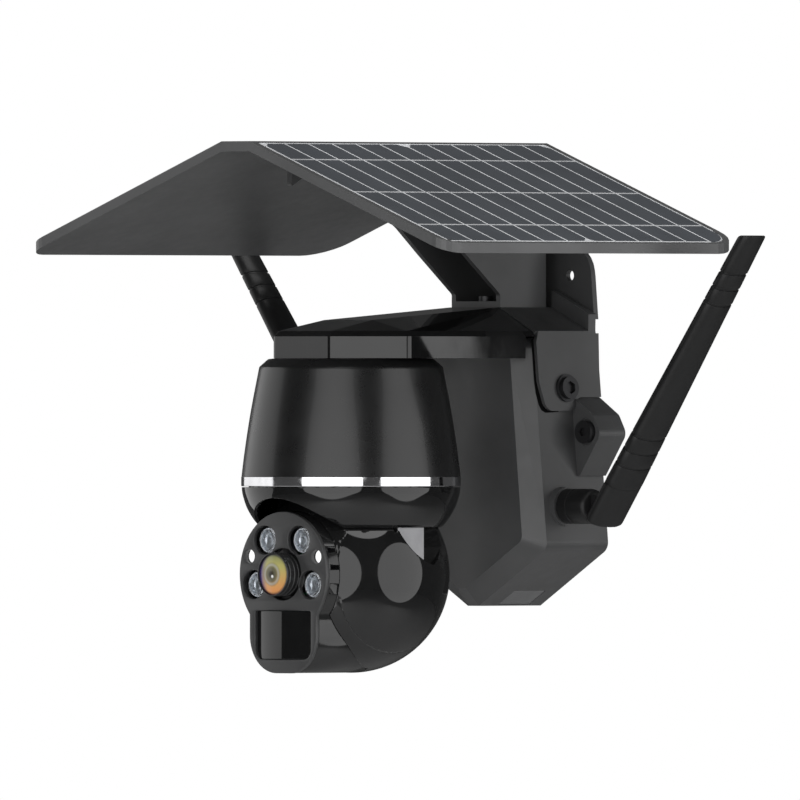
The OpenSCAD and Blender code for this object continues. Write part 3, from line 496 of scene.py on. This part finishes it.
DOME_OUTER = [(46.0, 103.2), (47.6, 95.0), (49.15, 87.0), (50.75, 78.0), (52.3, 68.0), (53.7, 58.0), (54.8, 48.75)]
SHOULDER = [(38.0, 107.85), (41.2, 107.5), (41.9, 107.1), (45.7, 103.7)]
BOWL_OUTER = [(54.7, 43.4), (54.4, 40.5), (53.5, 37.0), (52.3, 33.6), (50.8, 30.6), (48.9, 27.6), (46.8, 24.9),
              (45.2, 23.4)]
BOWL_CUT_RADIUS = 38.0


def add_dome():
    shell = lathe("dome_shell", SHOULDER + curve_through(DOME_OUTER)
                  + [(53.5, 48.75), (53.5, 44.0), (51.8, 44.0), (51.8, 53.0), (50.9, 66.0), (49.3, 78.0),
                     (45.2, 98.0), (42.8, 103.4), (9.0, 103.4), (9.0, 107.85)])
    smooth(shell, 22)
    place(shell, "dome_black", "bracket", "dome_housing")
    low, high, out = 43.9, 48.7, 54.95
    ring = lathe("trim_band", [(53.45, low), (out - 0.2, low), (out, low + 0.2), (out, high - 0.2),
                               (out - 0.2, high), (53.45, high)])
    smooth(ring, 30)
    place(ring, "chrome_trim", "bracket", "trim_ring")


def add_bowl():
    bowl = lathe("bowl_skin", curve_through(BOWL_OUTER) + [(44.7, 23.25), (44.2, 23.5), (45.4, 26.2), (47.4, 28.9),
                 (49.3, 31.8), (50.6, 34.8), (51.3, 38.0), (49.6, 42.0), (49.6, 53.4), (51.2, 53.4), (51.2, 43.4)])
    cut(bowl, rod("bowl_cutter", BOWL_CUT_RADIUS, (0, -70, 0), (0, 0, 0), 128))
    round_edges(bowl, 0.5, 3, 50)
    settle(bowl)
    smooth(bowl, 40)
    place(bowl, "gloss_black", "pan_head", "pan_bowl")


# ---------- ball ----------

BALL_RADIUS = 49.4
BALL_WALL = 2.4
SLICE_HALF = 29.9
EYE_RADIUS = 31.3
TONGUE_HALF = 24.0
TONGUE_LOW = -49.4
TONGUE_CORNER = 19.0
SLOT_X = 38.7
LID_X = 43.4
ARM_ROOM = 9.5
TILT_LOW = -5.0


def keyhole(d):
    """Outline of the eye plate moved in by d."""
    r, half, low, corner = EYE_RADIUS - d, TONGUE_HALF - d, TONGUE_LOW + d, TONGUE_CORNER - d
    join = math.degrees(math.acos(half / r))
    return (arc((0, 0), r, -join, 180 + join, 96)
            + arc((-half + corner, low + corner), corner, 180, 270, 16)
            + arc((half - corner, low + corner), corner, 270, 360, 16))


def ball_slice(name, low, high, radius=BALL_RADIUS, wall=BALL_WALL, back=None):
    """A hollow slice of the ball along the tilt axis."""
    first, last = math.degrees(math.acos(low / radius)), math.degrees(math.acos(min(1.0, high / radius)))
    outer = [(y, x) for x, y in arc((0, 0), radius, first, last, 40)]
    inner_radius = radius - wall
    inner_high = back if back is not None else high
    start, end = math.degrees(math.acos(inner_high / inner_radius)), math.degrees(math.acos(low / inner_radius))
    inner = [(y, x) for x, y in arc((0, 0), inner_radius, start, end, 40)]
    closing = [(0.0, inner_high)] if back is not None else []
    return lathe(name, outer + closing + inner, axis="X", segments=192)


def slot_outline():
    far = 80.0
    up = math.radians(TILT_LOW)
    left = (-ARM_ROOM * math.cos(up), ARM_ROOM * math.sin(up))
    return ([(left[0] + far * math.sin(up), left[1] + far * math.cos(up)), (far, far), (far, -ARM_ROOM)]
            + arc((0, 0), ARM_ROOM, 270, 180 - TILT_LOW, 24))


def lid_opening():
    """A leaf-shaped opening in the outer skin above the tilt axis, where the yoke's arm shows."""
    low = curve_through([(-9.5, 26.0), (-7.6, 18.5), (-3.0, 11.8), (3.5, 7.2), (9.5, 4.9), (12.0, 4.9), (16.0, 8.0),
                         (21.0, 14.5), (25.0, 22.0), (27.5, 30.0)], 8)
    return low + [(27.5, 60.0), (-9.5, 60.0)]


def add_ball():
    def eye_cutter():
        return prism("eye_cutter", keyhole(-0.25), -60, -2)
    middle = ball_slice("ball_middle", -SLICE_HALF, SLICE_HALF)
    cut(middle, eye_cutter())
    round_edges(middle, 0.35, 2, 50)
    settle(middle)
    smooth(middle, 40)
    place(middle, "gloss_black", "eye_ball", "ball_shell")
    for name, sign in (("right", 1), ("left", -1)):
        cap = ball_slice("ball_side_" + name, SLICE_HALF + 0.2, BALL_RADIUS, back=SLOT_X - 2.2)
        cut(cap, eye_cutter())
        cut(cap, prism("slot_cutter", slot_outline(), SLOT_X, LID_X, "X"))
        cut(cap, prism("window_cutter", lid_opening(), LID_X - 0.1, 60, "X"))
        round_edges(cap, 0.35, 2, 50)
        settle(cap)
        if sign < 0:
            for vertex in cap.data.vertices:
                vertex.co.x = -vertex.co.x
            cap.data.flip_normals()
        smooth(cap, 40)
        place(cap, "gloss_black", "eye_ball", "ball_cap_" + name)


# ---------- eye module ----------

EYE_FRONT = -47.3
EYE_BACK = -45.0
HOUSING_BACK = -12.0
LED_PLACES = [(-12.2, 17.0), (12.2, 17.0), (-20.3, -5.15), (20.3, -5.15)]
WINDOW_PLACES = [(-24.0, 8.9), (24.0, 8.9)]
PIR_LOW = (-20.0, -42.4)
PIR_HIGH = (20.0, -18.2)
LENS_ROOM = 13.0
LED_ROOM = (8.0, 7.2)
LED_SHIFT = -0.8
WINDOW_ROOM = 3.45
VENT_ROWS = ((11.0, 13.2), (2.4, 4.8), (-19.5, -4.6))


def pir_outline(d, corner=5.0, top_corner=1.0):
    (x0, z0), (x1, z1) = PIR_LOW, PIR_HIGH
    c, t = corner - d, top_corner
    return (arc((x0 + d + c, z0 + d + c), c, 180, 270, 10) + arc((x1 - d - c, z0 + d + c), c, 270, 360, 10)
            + arc((x1 - d - t, z1 - d - t), t, 0, 90, 6) + arc((x0 + d + t, z1 - d - t), t, 90, 180, 6))


def add_eye_plate():
    loops = [keyhole(0.0), circle((0, 0), LENS_ROOM, 96), pir_outline(0.0)]
    loops += [[(x + LED_SHIFT + a * LED_ROOM[0], z + b * LED_ROOM[1]) for a, b in circle((0, 0), 1.0, 64)]
              for x, z in LED_PLACES]
    loops += [circle(spot, WINDOW_ROOM, 40) for spot in WINDOW_PLACES]
    plate = front_plate("eye_face", loops, EYE_BACK, EYE_FRONT, 0.35)
    smooth(plate, 40)
    place(plate, "face_black", "eye_ball", "eye_plate")
    housing = prism("eye_can", keyhole(0.15), EYE_BACK + 0.05, HOUSING_BACK)
    tail = prism("eye_can_tail", [p for p in keyhole(0.15) if p[1] < -33.2], HOUSING_BACK - 6, -1.0)
    union = housing.modifiers.new("join", "BOOLEAN")
    union.operation = "UNION"
    union.solver = "EXACT"
    union.object = tail
    settle(housing)
    bpy.data.objects.remove(tail)
    cut(housing, prism("can_cutter", keyhole(2.0), EYE_BACK - 1, HOUSING_BACK - 2))
    for low, high in VENT_ROWS:
        for sign in (-1, 1):
            x0, x1 = sorted((sign * (24.0 if high - low < 5 else 29.6), sign * 40.0))
            cut(housing, prism("vent_cutter", [(x0, low), (x1, low), (x1, high), (x0, high)], -43.9, -37.6))
    round_edges(housing, 0.25, 2, 50)
    settle(housing)
    smooth(housing, 40)
    place(housing, "can_black", "eye_ball", "eye_housing")


def add_lens():
    barrel = lathe("lens_tube", [
        (10.9, -54.1), (10.75, -54.45), (10.5, -54.6), (10.3, -54.5), (10.3, -53.2), (8.7, -52.2), (8.7, -51.5),
        (7.2, -51.5), (5.0, -48.6), (5.0, -42.0), (8.0, -42.0), (8.0, -29.0), (9.0, -29.0), (9.0, -40.0),
        (10.9, -40.0), (10.9, -46.6), (10.5, -46.8), (10.5, -47.8), (10.9, -48.0), (10.9, -49.2), (10.6, -49.4),
        (10.6, -49.9), (10.9, -50.1), (10.9, -52.2), (10.6, -52.4), (10.6, -52.9), (10.9, -53.1)],
        axis="Y", segments=128)
    smooth(barrel, 30)
    place(barrel, "satin_black", "eye_ball", "lens_barrel")
    dome = [(10.25 * i / 16, -53.5 - 1.9 * (1 - (i / 16) ** 2)) for i in range(17)]
    under = [(10.25 * (1 - i / 16), -53.2 - 1.2 * (1 - (1 - i / 16) ** 2)) for i in range(17)]
    front = lathe("lens_front", dome + under, axis="Y", segments=112)
    smooth(front, 50)
    place(front, "lens_coating", "eye_ball", "lens_glass")


def add_leds():
    """Each light is a bright stepped cup and a moulded lens with a ring round its middle."""
    for index, (x, z) in enumerate(LED_PLACES):
        cup = lathe("led_cup_%d" % index, [
            (6.3, -45.1), (6.1, -45.2), (5.9, -44.6), (5.4, -44.0), (4.2, -42.6), (2.6, -41.9), (1.6, -41.8),
            (0.0, -41.8), (0.0, -40.0), (6.3, -40.0)], axis="Y", centre=(x, 0, z), segments=72)
        smooth(cup, 25)
        place(cup, "led_cup", "eye_ball", slot="led_glass")
        face = [(0.0, -46.2), (0.9, -46.15), (1.6, -45.95), (1.9, -45.75), (2.2, -45.7), (2.6, -45.85), (3.4, -45.9),
                (3.8, -45.75), (4.1, -45.6), (4.6, -45.7), (5.2, -45.75), (5.5, -45.5), (5.8, -45.45), (6.2, -45.55),
                (6.35, -45.3)]
        back = [(6.35, -44.9), (5.8, -44.4), (4.2, -43.0), (2.6, -42.3), (0.0, -42.2)]
        cover = lathe("led_lens_%d" % index, face + back, axis="Y", centre=(x, 0, z), segments=72)
        smooth(cover, 30)
        if index == 0:
            place(cover, "led_glass", "eye_ball", "led_lenses")
        else:
            place(cover, "led_glass", "eye_ball", slot="led_glass")
    for index, (x, z) in enumerate(WINDOW_PLACES):
        # Each pane glows with painted light rather than being lit.
        pane = lathe("light_pane_%d" % index, [(0, -44.6), (3.0, -44.6), (3.3, -44.5), (3.4, -44.2), (3.4, -43.2),
                                               (0, -43.2)], axis="Y", centre=(x, 0, z), segments=48)
        smooth(pane, 35)
        if index == 0:
            place(pane, "painted_glow_white", "eye_ball", "light_windows")
        else:
            place(pane, "painted_glow_white", "eye_ball", slot="white_plastic")


def add_pir_window():
    """A glossy window that bows forward across its width."""
    window = front_plate("motion_window", [pir_outline(0.15)], -47.2, -49.0, 0.2)
    mesh = bmesh.new()
    mesh.from_mesh(window.data)
    width = PIR_HIGH[0]
    columns = 28
    for i in range(1, columns):
        x = at(PIR_LOW[0] + 2 * width * i / columns, 0, 0).x
        geometry = mesh.verts[:] + mesh.edges[:] + mesh.faces[:]
        bmesh.ops.bisect_plane(mesh, geom=geometry, plane_co=(x, 0, 0), plane_no=(1, 0, 0))
    bow = 56.0
    for vertex in mesh.verts:
        x = (vertex.co.x - EYE.x) / MM
        vertex.co.y += (bow - math.sqrt(bow * bow - x * x)) * MM
    mesh.to_mesh(window.data)
    mesh.free()
    smooth(window, 40)
    place(window, "window_glass", "eye_ball", "pir_window")


# ---------- antennas ----------

FOLD = JOINTS["fold_right"]["pos_m"]
ANTENNA_LENGTH = 169.0
LEAN = math.radians(36.6)
GROOVES = (27.0, 36.0, 45.0, 127.5, 136.5, 145.5)


def blade_half(z):
    """Half thickness and half width of an antenna blade at a distance from its fold pin, in mm."""
    base, top = (5.9, 11.8), (4.85, 7.45)
    t = (z - 16.0) / (ANTENNA_LENGTH - 16.0)
    if z < 16.0:
        s = (z - 9.9) / 6.1
        return 5.0 + 0.9 * math.sin(s * math.pi / 2), 9.4 + 2.4 * math.sin(s * math.pi / 2)
    return base[0] + (top[0] - base[0]) * t, base[1] + (top[1] - base[1]) * t


def blade_stations():
    """Distances along the blade with how far the skin is drawn in there."""
    stations = [(12.0 + 1.5 * i, 0.0) for i in range(4)]
    for z in [18.0 + 6.0 * i for i in range(26)]:
        if z < ANTENNA_LENGTH - 3 and all(abs(z - groove) > 2.2 for groove in GROOVES):
            stations.append((z, 0.0))
    for groove in GROOVES:
        stations += [(groove - 0.95, 0.0), (groove - 0.65, 0.1), (groove - 0.45, 0.5), (groove + 0.45, 0.5),
                     (groove + 0.65, 0.1), (groove + 0.95, 0.0)]
    stations += [(ANTENNA_LENGTH - 2.1, 0.0), (ANTENNA_LENGTH - 1.1, 0.25), (ANTENNA_LENGTH - 0.6, 1.0)]
    return sorted(stations)


def from_fold(sign, local):
    """A point given in mm in the frame of an antenna's fold pin, with z along the blade."""
    turned = Matrix.Rotation(LEAN, 3, "Y") @ Vector(local)
    return Vector((sign * (FOLD[0] + turned.x * MM), FOLD[1] + turned.y * MM, FOLD[2] + turned.z * MM))


def recalculated(name, vertices, faces):
    made = link_mesh(name, vertices, faces)
    mesh = bmesh.new()
    mesh.from_mesh(made.data)
    bmesh.ops.recalc_face_normals(mesh, faces=mesh.faces)
    mesh.to_mesh(made.data)
    mesh.free()
    return made


def blade_foot(sign):
    """The blade's lower end: an oval sleeve over the fold pin, slotted for the knuckle's tongue."""
    sides, vertices, faces = 56, [], []
    rows = [(-9.6, 1.6), (-9.3, 0.7), (-8.6, 0.15), (-7.8, 0.0), (0.0, 0.0), (8.0, 0.0), (14.0, 0.0)]
    for z, drawn in rows:
        for i in range(sides):
            a = 2 * math.pi * i / sides
            vertices.append(from_fold(sign, ((5.9 - drawn) * math.cos(a), (11.8 - drawn) * math.sin(a), z)))
    for j in range(len(rows) - 1):
        for i in range(sides):
            k = (i + 1) % sides
            faces.append([j * sides + i, j * sides + k, (j + 1) * sides + k, (j + 1) * sides + i])
    faces += [list(range(sides)), [(len(rows) - 1) * sides + i for i in range(sides)]]
    foot = recalculated("foot", vertices, faces)
    corners = [(x, y, z) for z in (-14.0, 8.6) for x, y in ((-9, -3.4), (5.5, -3.4), (5.5, 3.4), (-9, 3.4))]
    box = [[0, 3, 2, 1], [4, 5, 6, 7]] + [[i, (i + 1) % 4, 4 + (i + 1) % 4, 4 + i] for i in range(4)]
    cut(foot, recalculated("foot_slot", [from_fold(sign, c) for c in corners], box))
    return foot


def add_cheek_painted_shadows():
    """A painted shadow on each flank of the box: a thin near-black strip round the front edge of the bracket's cheek,
    where the gap between cheek and box lies in shade.
    """
    hood = 86.0
    edge = [(hood - 1.5, 117.0), (hood - 1.6, 97.0), (hood - 1.1, 90.5), (hood + 0.4, 84.6), (hood + 2.0, 81.9),
            (hood + 4.6, 80.7), (hood + 8.0, 80.7), (hood + 14.0, 81.1)]
    inner = [(hood + 14.0, 82.6), (hood + 5.0, 84.0), (hood + 2.5, 90.0), (hood + 1.5, 97.0), (hood + 1.5, 117.0)]
    ring = edge + inner
    count = len(ring)
    for name, sign in (("right", 1), ("left", -1)):
        vertices = [at(sign * (43.3 + (107.0 - z) * math.tan(math.radians(5.9)) + lift), y, z)
                    for lift in (0.02, 0.085) for y, z in ring]
        faces = [list(range(count)), list(range(count, 2 * count))]
        faces += [[i, (i + 1) % count, count + (i + 1) % count, count + i] for i in range(count)]
        shadow_strip = recalculated("cheek_painted_shadow_" + name, vertices, faces)
        place(shadow_strip, "painted_shadow_black", "bracket", slot="gloss_black")


def add_knuckles():
    """A round sleeve on the jack, narrowed to a tongue that the blade's foot straddles."""
    y, z = (FOLD[1] - EYE.y) / MM, (FOLD[2] - EYE.z) / MM
    pin = FOLD[0] / MM
    for name, sign in (("right", 1), ("left", -1)):
        sleeve = lathe("knuckle_sleeve_" + name, [
            (3.3, 54.35), (8.4, 54.35), (8.8, 54.8), (8.8, 60.6), (8.4, 60.8), (8.4, 61.5), (8.8, 61.7),
            (8.8, 71.5), (8.3, 73.2), (7.0, 74.2), (0.0, 74.2), (0.0, 63.2), (3.3, 63.2)],
            axis="X", centre=(0, y, z), segments=72)
        outline = [(70.0, z - 5.4), (pin, z - 5.4)] + arc((pin, z), 5.4, -80, 80, 20) + [(pin, z + 5.4),
                                                                                      (70.0, z + 5.4)]
        tongue = prism("tongue", outline, y - 3.1, y + 3.1)
        join = sleeve.modifiers.new("join", "BOOLEAN")
        join.operation = "UNION"
        join.solver = "EXACT"
        join.object = tongue
        settle(sleeve)
        bpy.data.objects.remove(tongue)
        if sign < 0:
            for vertex in sleeve.data.vertices:
                vertex.co.x = -vertex.co.x
            sleeve.data.flip_normals()
        smooth(sleeve, 40)
        place(sleeve, "antenna_black", "knuckle_" + name, "antenna_knuckle_" + name)


def add_antennas():
    sides = 56
    for name, sign in (("right", 1), ("left", -1)):
        vertices, faces = [], []
        for z, drawn in blade_stations():
            thick, wide = blade_half(z)
            tilt = max(0.0, (z - 120.0) / (ANTENNA_LENGTH - 120.0)) * math.tan(LEAN)
            for i in range(sides):
                a = 2 * math.pi * i / sides
                bulge = 2.06
                c, s = math.cos(a), math.sin(a)
                x = (thick - drawn) * math.copysign(abs(c) ** (2 / bulge), c)
                y = (wide - drawn) * math.copysign(abs(s) ** (2 / bulge), s)
                local = Matrix.Rotation(LEAN, 3, "Y") @ Vector((x, y, z + x * tilt))
                vertices.append(Vector((sign * (FOLD[0] + local.x * MM), FOLD[1] + local.y * MM,
                                        FOLD[2] + local.z * MM)))
        rows = len(vertices) // sides
        for j in range(rows - 1):
            for i in range(sides):
                k = (i + 1) % sides
                faces.append([j * sides + i, j * sides + k, (j + 1) * sides + k, (j + 1) * sides + i])
        faces.append(list(range(sides - 1, -1, -1)))
        faces.append([(rows - 1) * sides + i for i in range(sides)])
        blade = link_mesh("antenna_blade_" + name, vertices, faces)
        mesh = bmesh.new()
        mesh.from_mesh(blade.data)
        bmesh.ops.recalc_face_normals(mesh, faces=mesh.faces)
        mesh.to_mesh(blade.data)
        mesh.free()
        foot = blade_foot(sign)
        join = blade.modifiers.new("join", "BOOLEAN")
        join.operation = "UNION"
        join.solver = "EXACT"
        join.object = foot
        settle(blade)
        bpy.data.objects.remove(foot)
        smooth(blade, 40)
        place(blade, "antenna_black", "blade_" + name, "antenna_" + name)


# ---------- solar sheets ----------

ROOF_SLOPE = math.radians(19.9)
RIDGE = (10.0, 216.0)
ROOF_MIDDLE = 23.5
SHEET_START = 2.4
SHEET_WIDTH = 145.6
STRIP_PITCH = 16.5
STRIPS = 12
CELL_INSET = 0.9


def on_wing(sign, down, along, out):
    """A point on a wing: down the slope from the ridge, along it and out of it, in mm."""
    c, s = math.cos(ROOF_SLOPE), math.sin(ROOF_SLOPE)
    return at(sign * (RIDGE[0] + down * c + out * s), ROOF_MIDDLE + along, RIDGE[1] - down * s + out * c)


def add_bars(name, sign, bars, low, high, material):
    """Thin flat bars on one wing; each is (down0, down1, along0, along1) in mm."""
    vertices, faces = [], []
    for d0, d1, a0, a1 in bars:
        n = len(vertices)
        for out in (low, high):
            vertices += [on_wing(sign, d0, a0, out), on_wing(sign, d1, a0, out),
                         on_wing(sign, d1, a1, out), on_wing(sign, d0, a1, out)]
        faces += [[n, n + 3, n + 2, n + 1], [n + 4, n + 5, n + 6, n + 7]]
        faces += [[n + i, n + (i + 1) % 4, n + 4 + (i + 1) % 4, n + 4 + i] for i in range(4)]
    made = link_mesh(name, vertices, faces)
    mesh = bmesh.new()
    mesh.from_mesh(made.data)
    bmesh.ops.recalc_face_normals(mesh, faces=mesh.faces)
    mesh.to_mesh(made.data)
    mesh.free()
    return place(made, material, "bracket", slot="sheet_white")


def add_solar_lines():
    length = STRIP_PITCH * STRIPS
    top, bottom = SHEET_START + CELL_INSET, SHEET_START + SHEET_WIDTH - CELL_INSET
    for name, sign in (("right", 1), ("left", -1)):
        gaps = [(top, bottom - (16.2 if i == STRIPS else 1.5 if i == 0 else 0.0),
                 i * STRIP_PITCH - length / 2 - 0.42, i * STRIP_PITCH - length / 2 + 0.42) for i in range(STRIPS + 1)]
        edges = [(top - 0.5, top + 0.3, -length / 2, length / 2),
                 (bottom - 0.3, bottom + 0.5, 1.5 - length / 2, length / 2 - 16.2)]
        add_bars("cell_gaps_" + name, sign, gaps + edges, -0.25, 0.06, "line_white")
        bars = [(top + (bottom - top) * k / 6 - 0.55, top + (bottom - top) * k / 6 + 0.55, -length / 2, length / 2)
                for k in (1, 3, 5)]
        add_bars("busbars_" + name, sign, bars, -0.2, 0.10, "busbar")

add_dome()
add_bowl()
add_ball()
add_eye_plate()
add_lens()
add_leds()
add_pir_window()
add_cheek_painted_shadows()
add_knuckles()
add_antennas()
add_solar_lines()


# ---------- stage ----------

VIEW_AZIMUTH = math.radians(46.0)
LENS = 1500.0
FIELD_WIDTH = 0.4
AIM = at(17.0, 17.6, 87.0)


def add_camera():
    data = bpy.data.cameras.new("camera")
    data.lens = LENS
    data.sensor_width = 36.0
    camera = bpy.data.objects.new("camera", data)
    bpy.context.scene.collection.objects.link(camera)
    back = Vector((math.sin(VIEW_AZIMUTH), -math.cos(VIEW_AZIMUTH), 0.0))
    distance = FIELD_WIDTH * data.lens / data.sensor_width
    camera.location = AIM + back * distance
    camera.rotation_euler = (-back).to_track_quat("-Z", "Y").to_euler()
    data.clip_start = 1.0
    data.clip_end = distance * 2
    bpy.context.scene.camera = camera
    return camera


def add_disc(name, turn, elevation, spread, distance, radiance):
    """A round soft light facing the object, seen from it under the half angle spread. Its turn is measured
    to the right of the camera, in degrees."""
    data = bpy.data.lights.new(name, "AREA")
    data.shape = "DISK"
    radius = distance * math.tan(math.radians(spread))
    data.size = 2 * radius
    data.energy = radiance * math.pi * math.pi * radius ** 2
    light = bpy.data.objects.new(name, data)
    bpy.context.scene.collection.objects.link(light)
    a, e = VIEW_AZIMUTH + math.radians(turn), math.radians(elevation)
    out = Vector((math.sin(a) * math.cos(e), -math.cos(a) * math.cos(e), math.sin(e)))
    light.location = at(0, 0, 20) + out * distance
    light.rotation_euler = (-out).to_track_quat("-Z", "Y").to_euler()
    return light


def add_floor():
    mesh = bmesh.new()
    bmesh.ops.create_circle(mesh, cap_ends=True, radius=3.0, segments=96)
    data = bpy.data.meshes.new("floor")
    mesh.to_mesh(data)
    mesh.free()
    floor = bpy.data.objects.new("floor", data)
    floor.location = (0.0, 0.0, cad_box[0].z - 0.9)
    bpy.context.scene.collection.objects.link(floor)
    pale = Shader("pale_floor")
    pale.link(pale.blend(pale.noise(3.0), grey(0.76), grey(0.80)), "Base Color")
    data.materials.append(pale.set(Roughness=0.6).material)
    nodes, links = pale.material.node_tree.nodes, pale.material.node_tree.links
    ray = nodes.new("ShaderNodeLightPath")
    fill = nodes.new("ShaderNodeMapRange")
    fill.inputs["To Max"].default_value = 0.6
    links.new(ray.outputs["Is Camera Ray"], fill.inputs["Value"])
    surface = nodes["Principled BSDF"]
    surface.inputs["Emission Color"].default_value = (1.0, 1.0, 1.0, 1.0)
    links.new(fill.outputs["Result"], surface.inputs["Emission Strength"])


def add_world():
    """White to the camera, and a soft grey room to everything else."""
    world = bpy.data.worlds.new("studio")
    bpy.context.scene.world = world
    world.use_nodes = True
    nodes, links = world.node_tree.nodes, world.node_tree.links
    background = nodes["Background"]
    background.inputs["Color"].default_value = (1.0, 1.0, 1.0, 1.0)
    ray = nodes.new("ShaderNodeLightPath")
    strength = nodes.new("ShaderNodeMapRange")
    strength.inputs["To Min"].default_value = 0.06
    strength.inputs["To Max"].default_value = 1.0
    links.new(ray.outputs["Is Camera Ray"], strength.inputs["Value"])
    links.new(strength.outputs["Result"], background.inputs["Strength"])


add_camera()
add_floor()
add_world()
bpy.context.scene.view_settings.view_transform = "Standard"
add_disc("right_disc", 61, 1, 30, 1.5, 1.65)
add_disc("middle_disc", -20, 1, 32, 1.5, 1.85)
add_disc("left_disc", -120, 2, 31, 1.5, 0.95)
add_disc("top_disc", 30, 66, 26, 1.5, 2.6)
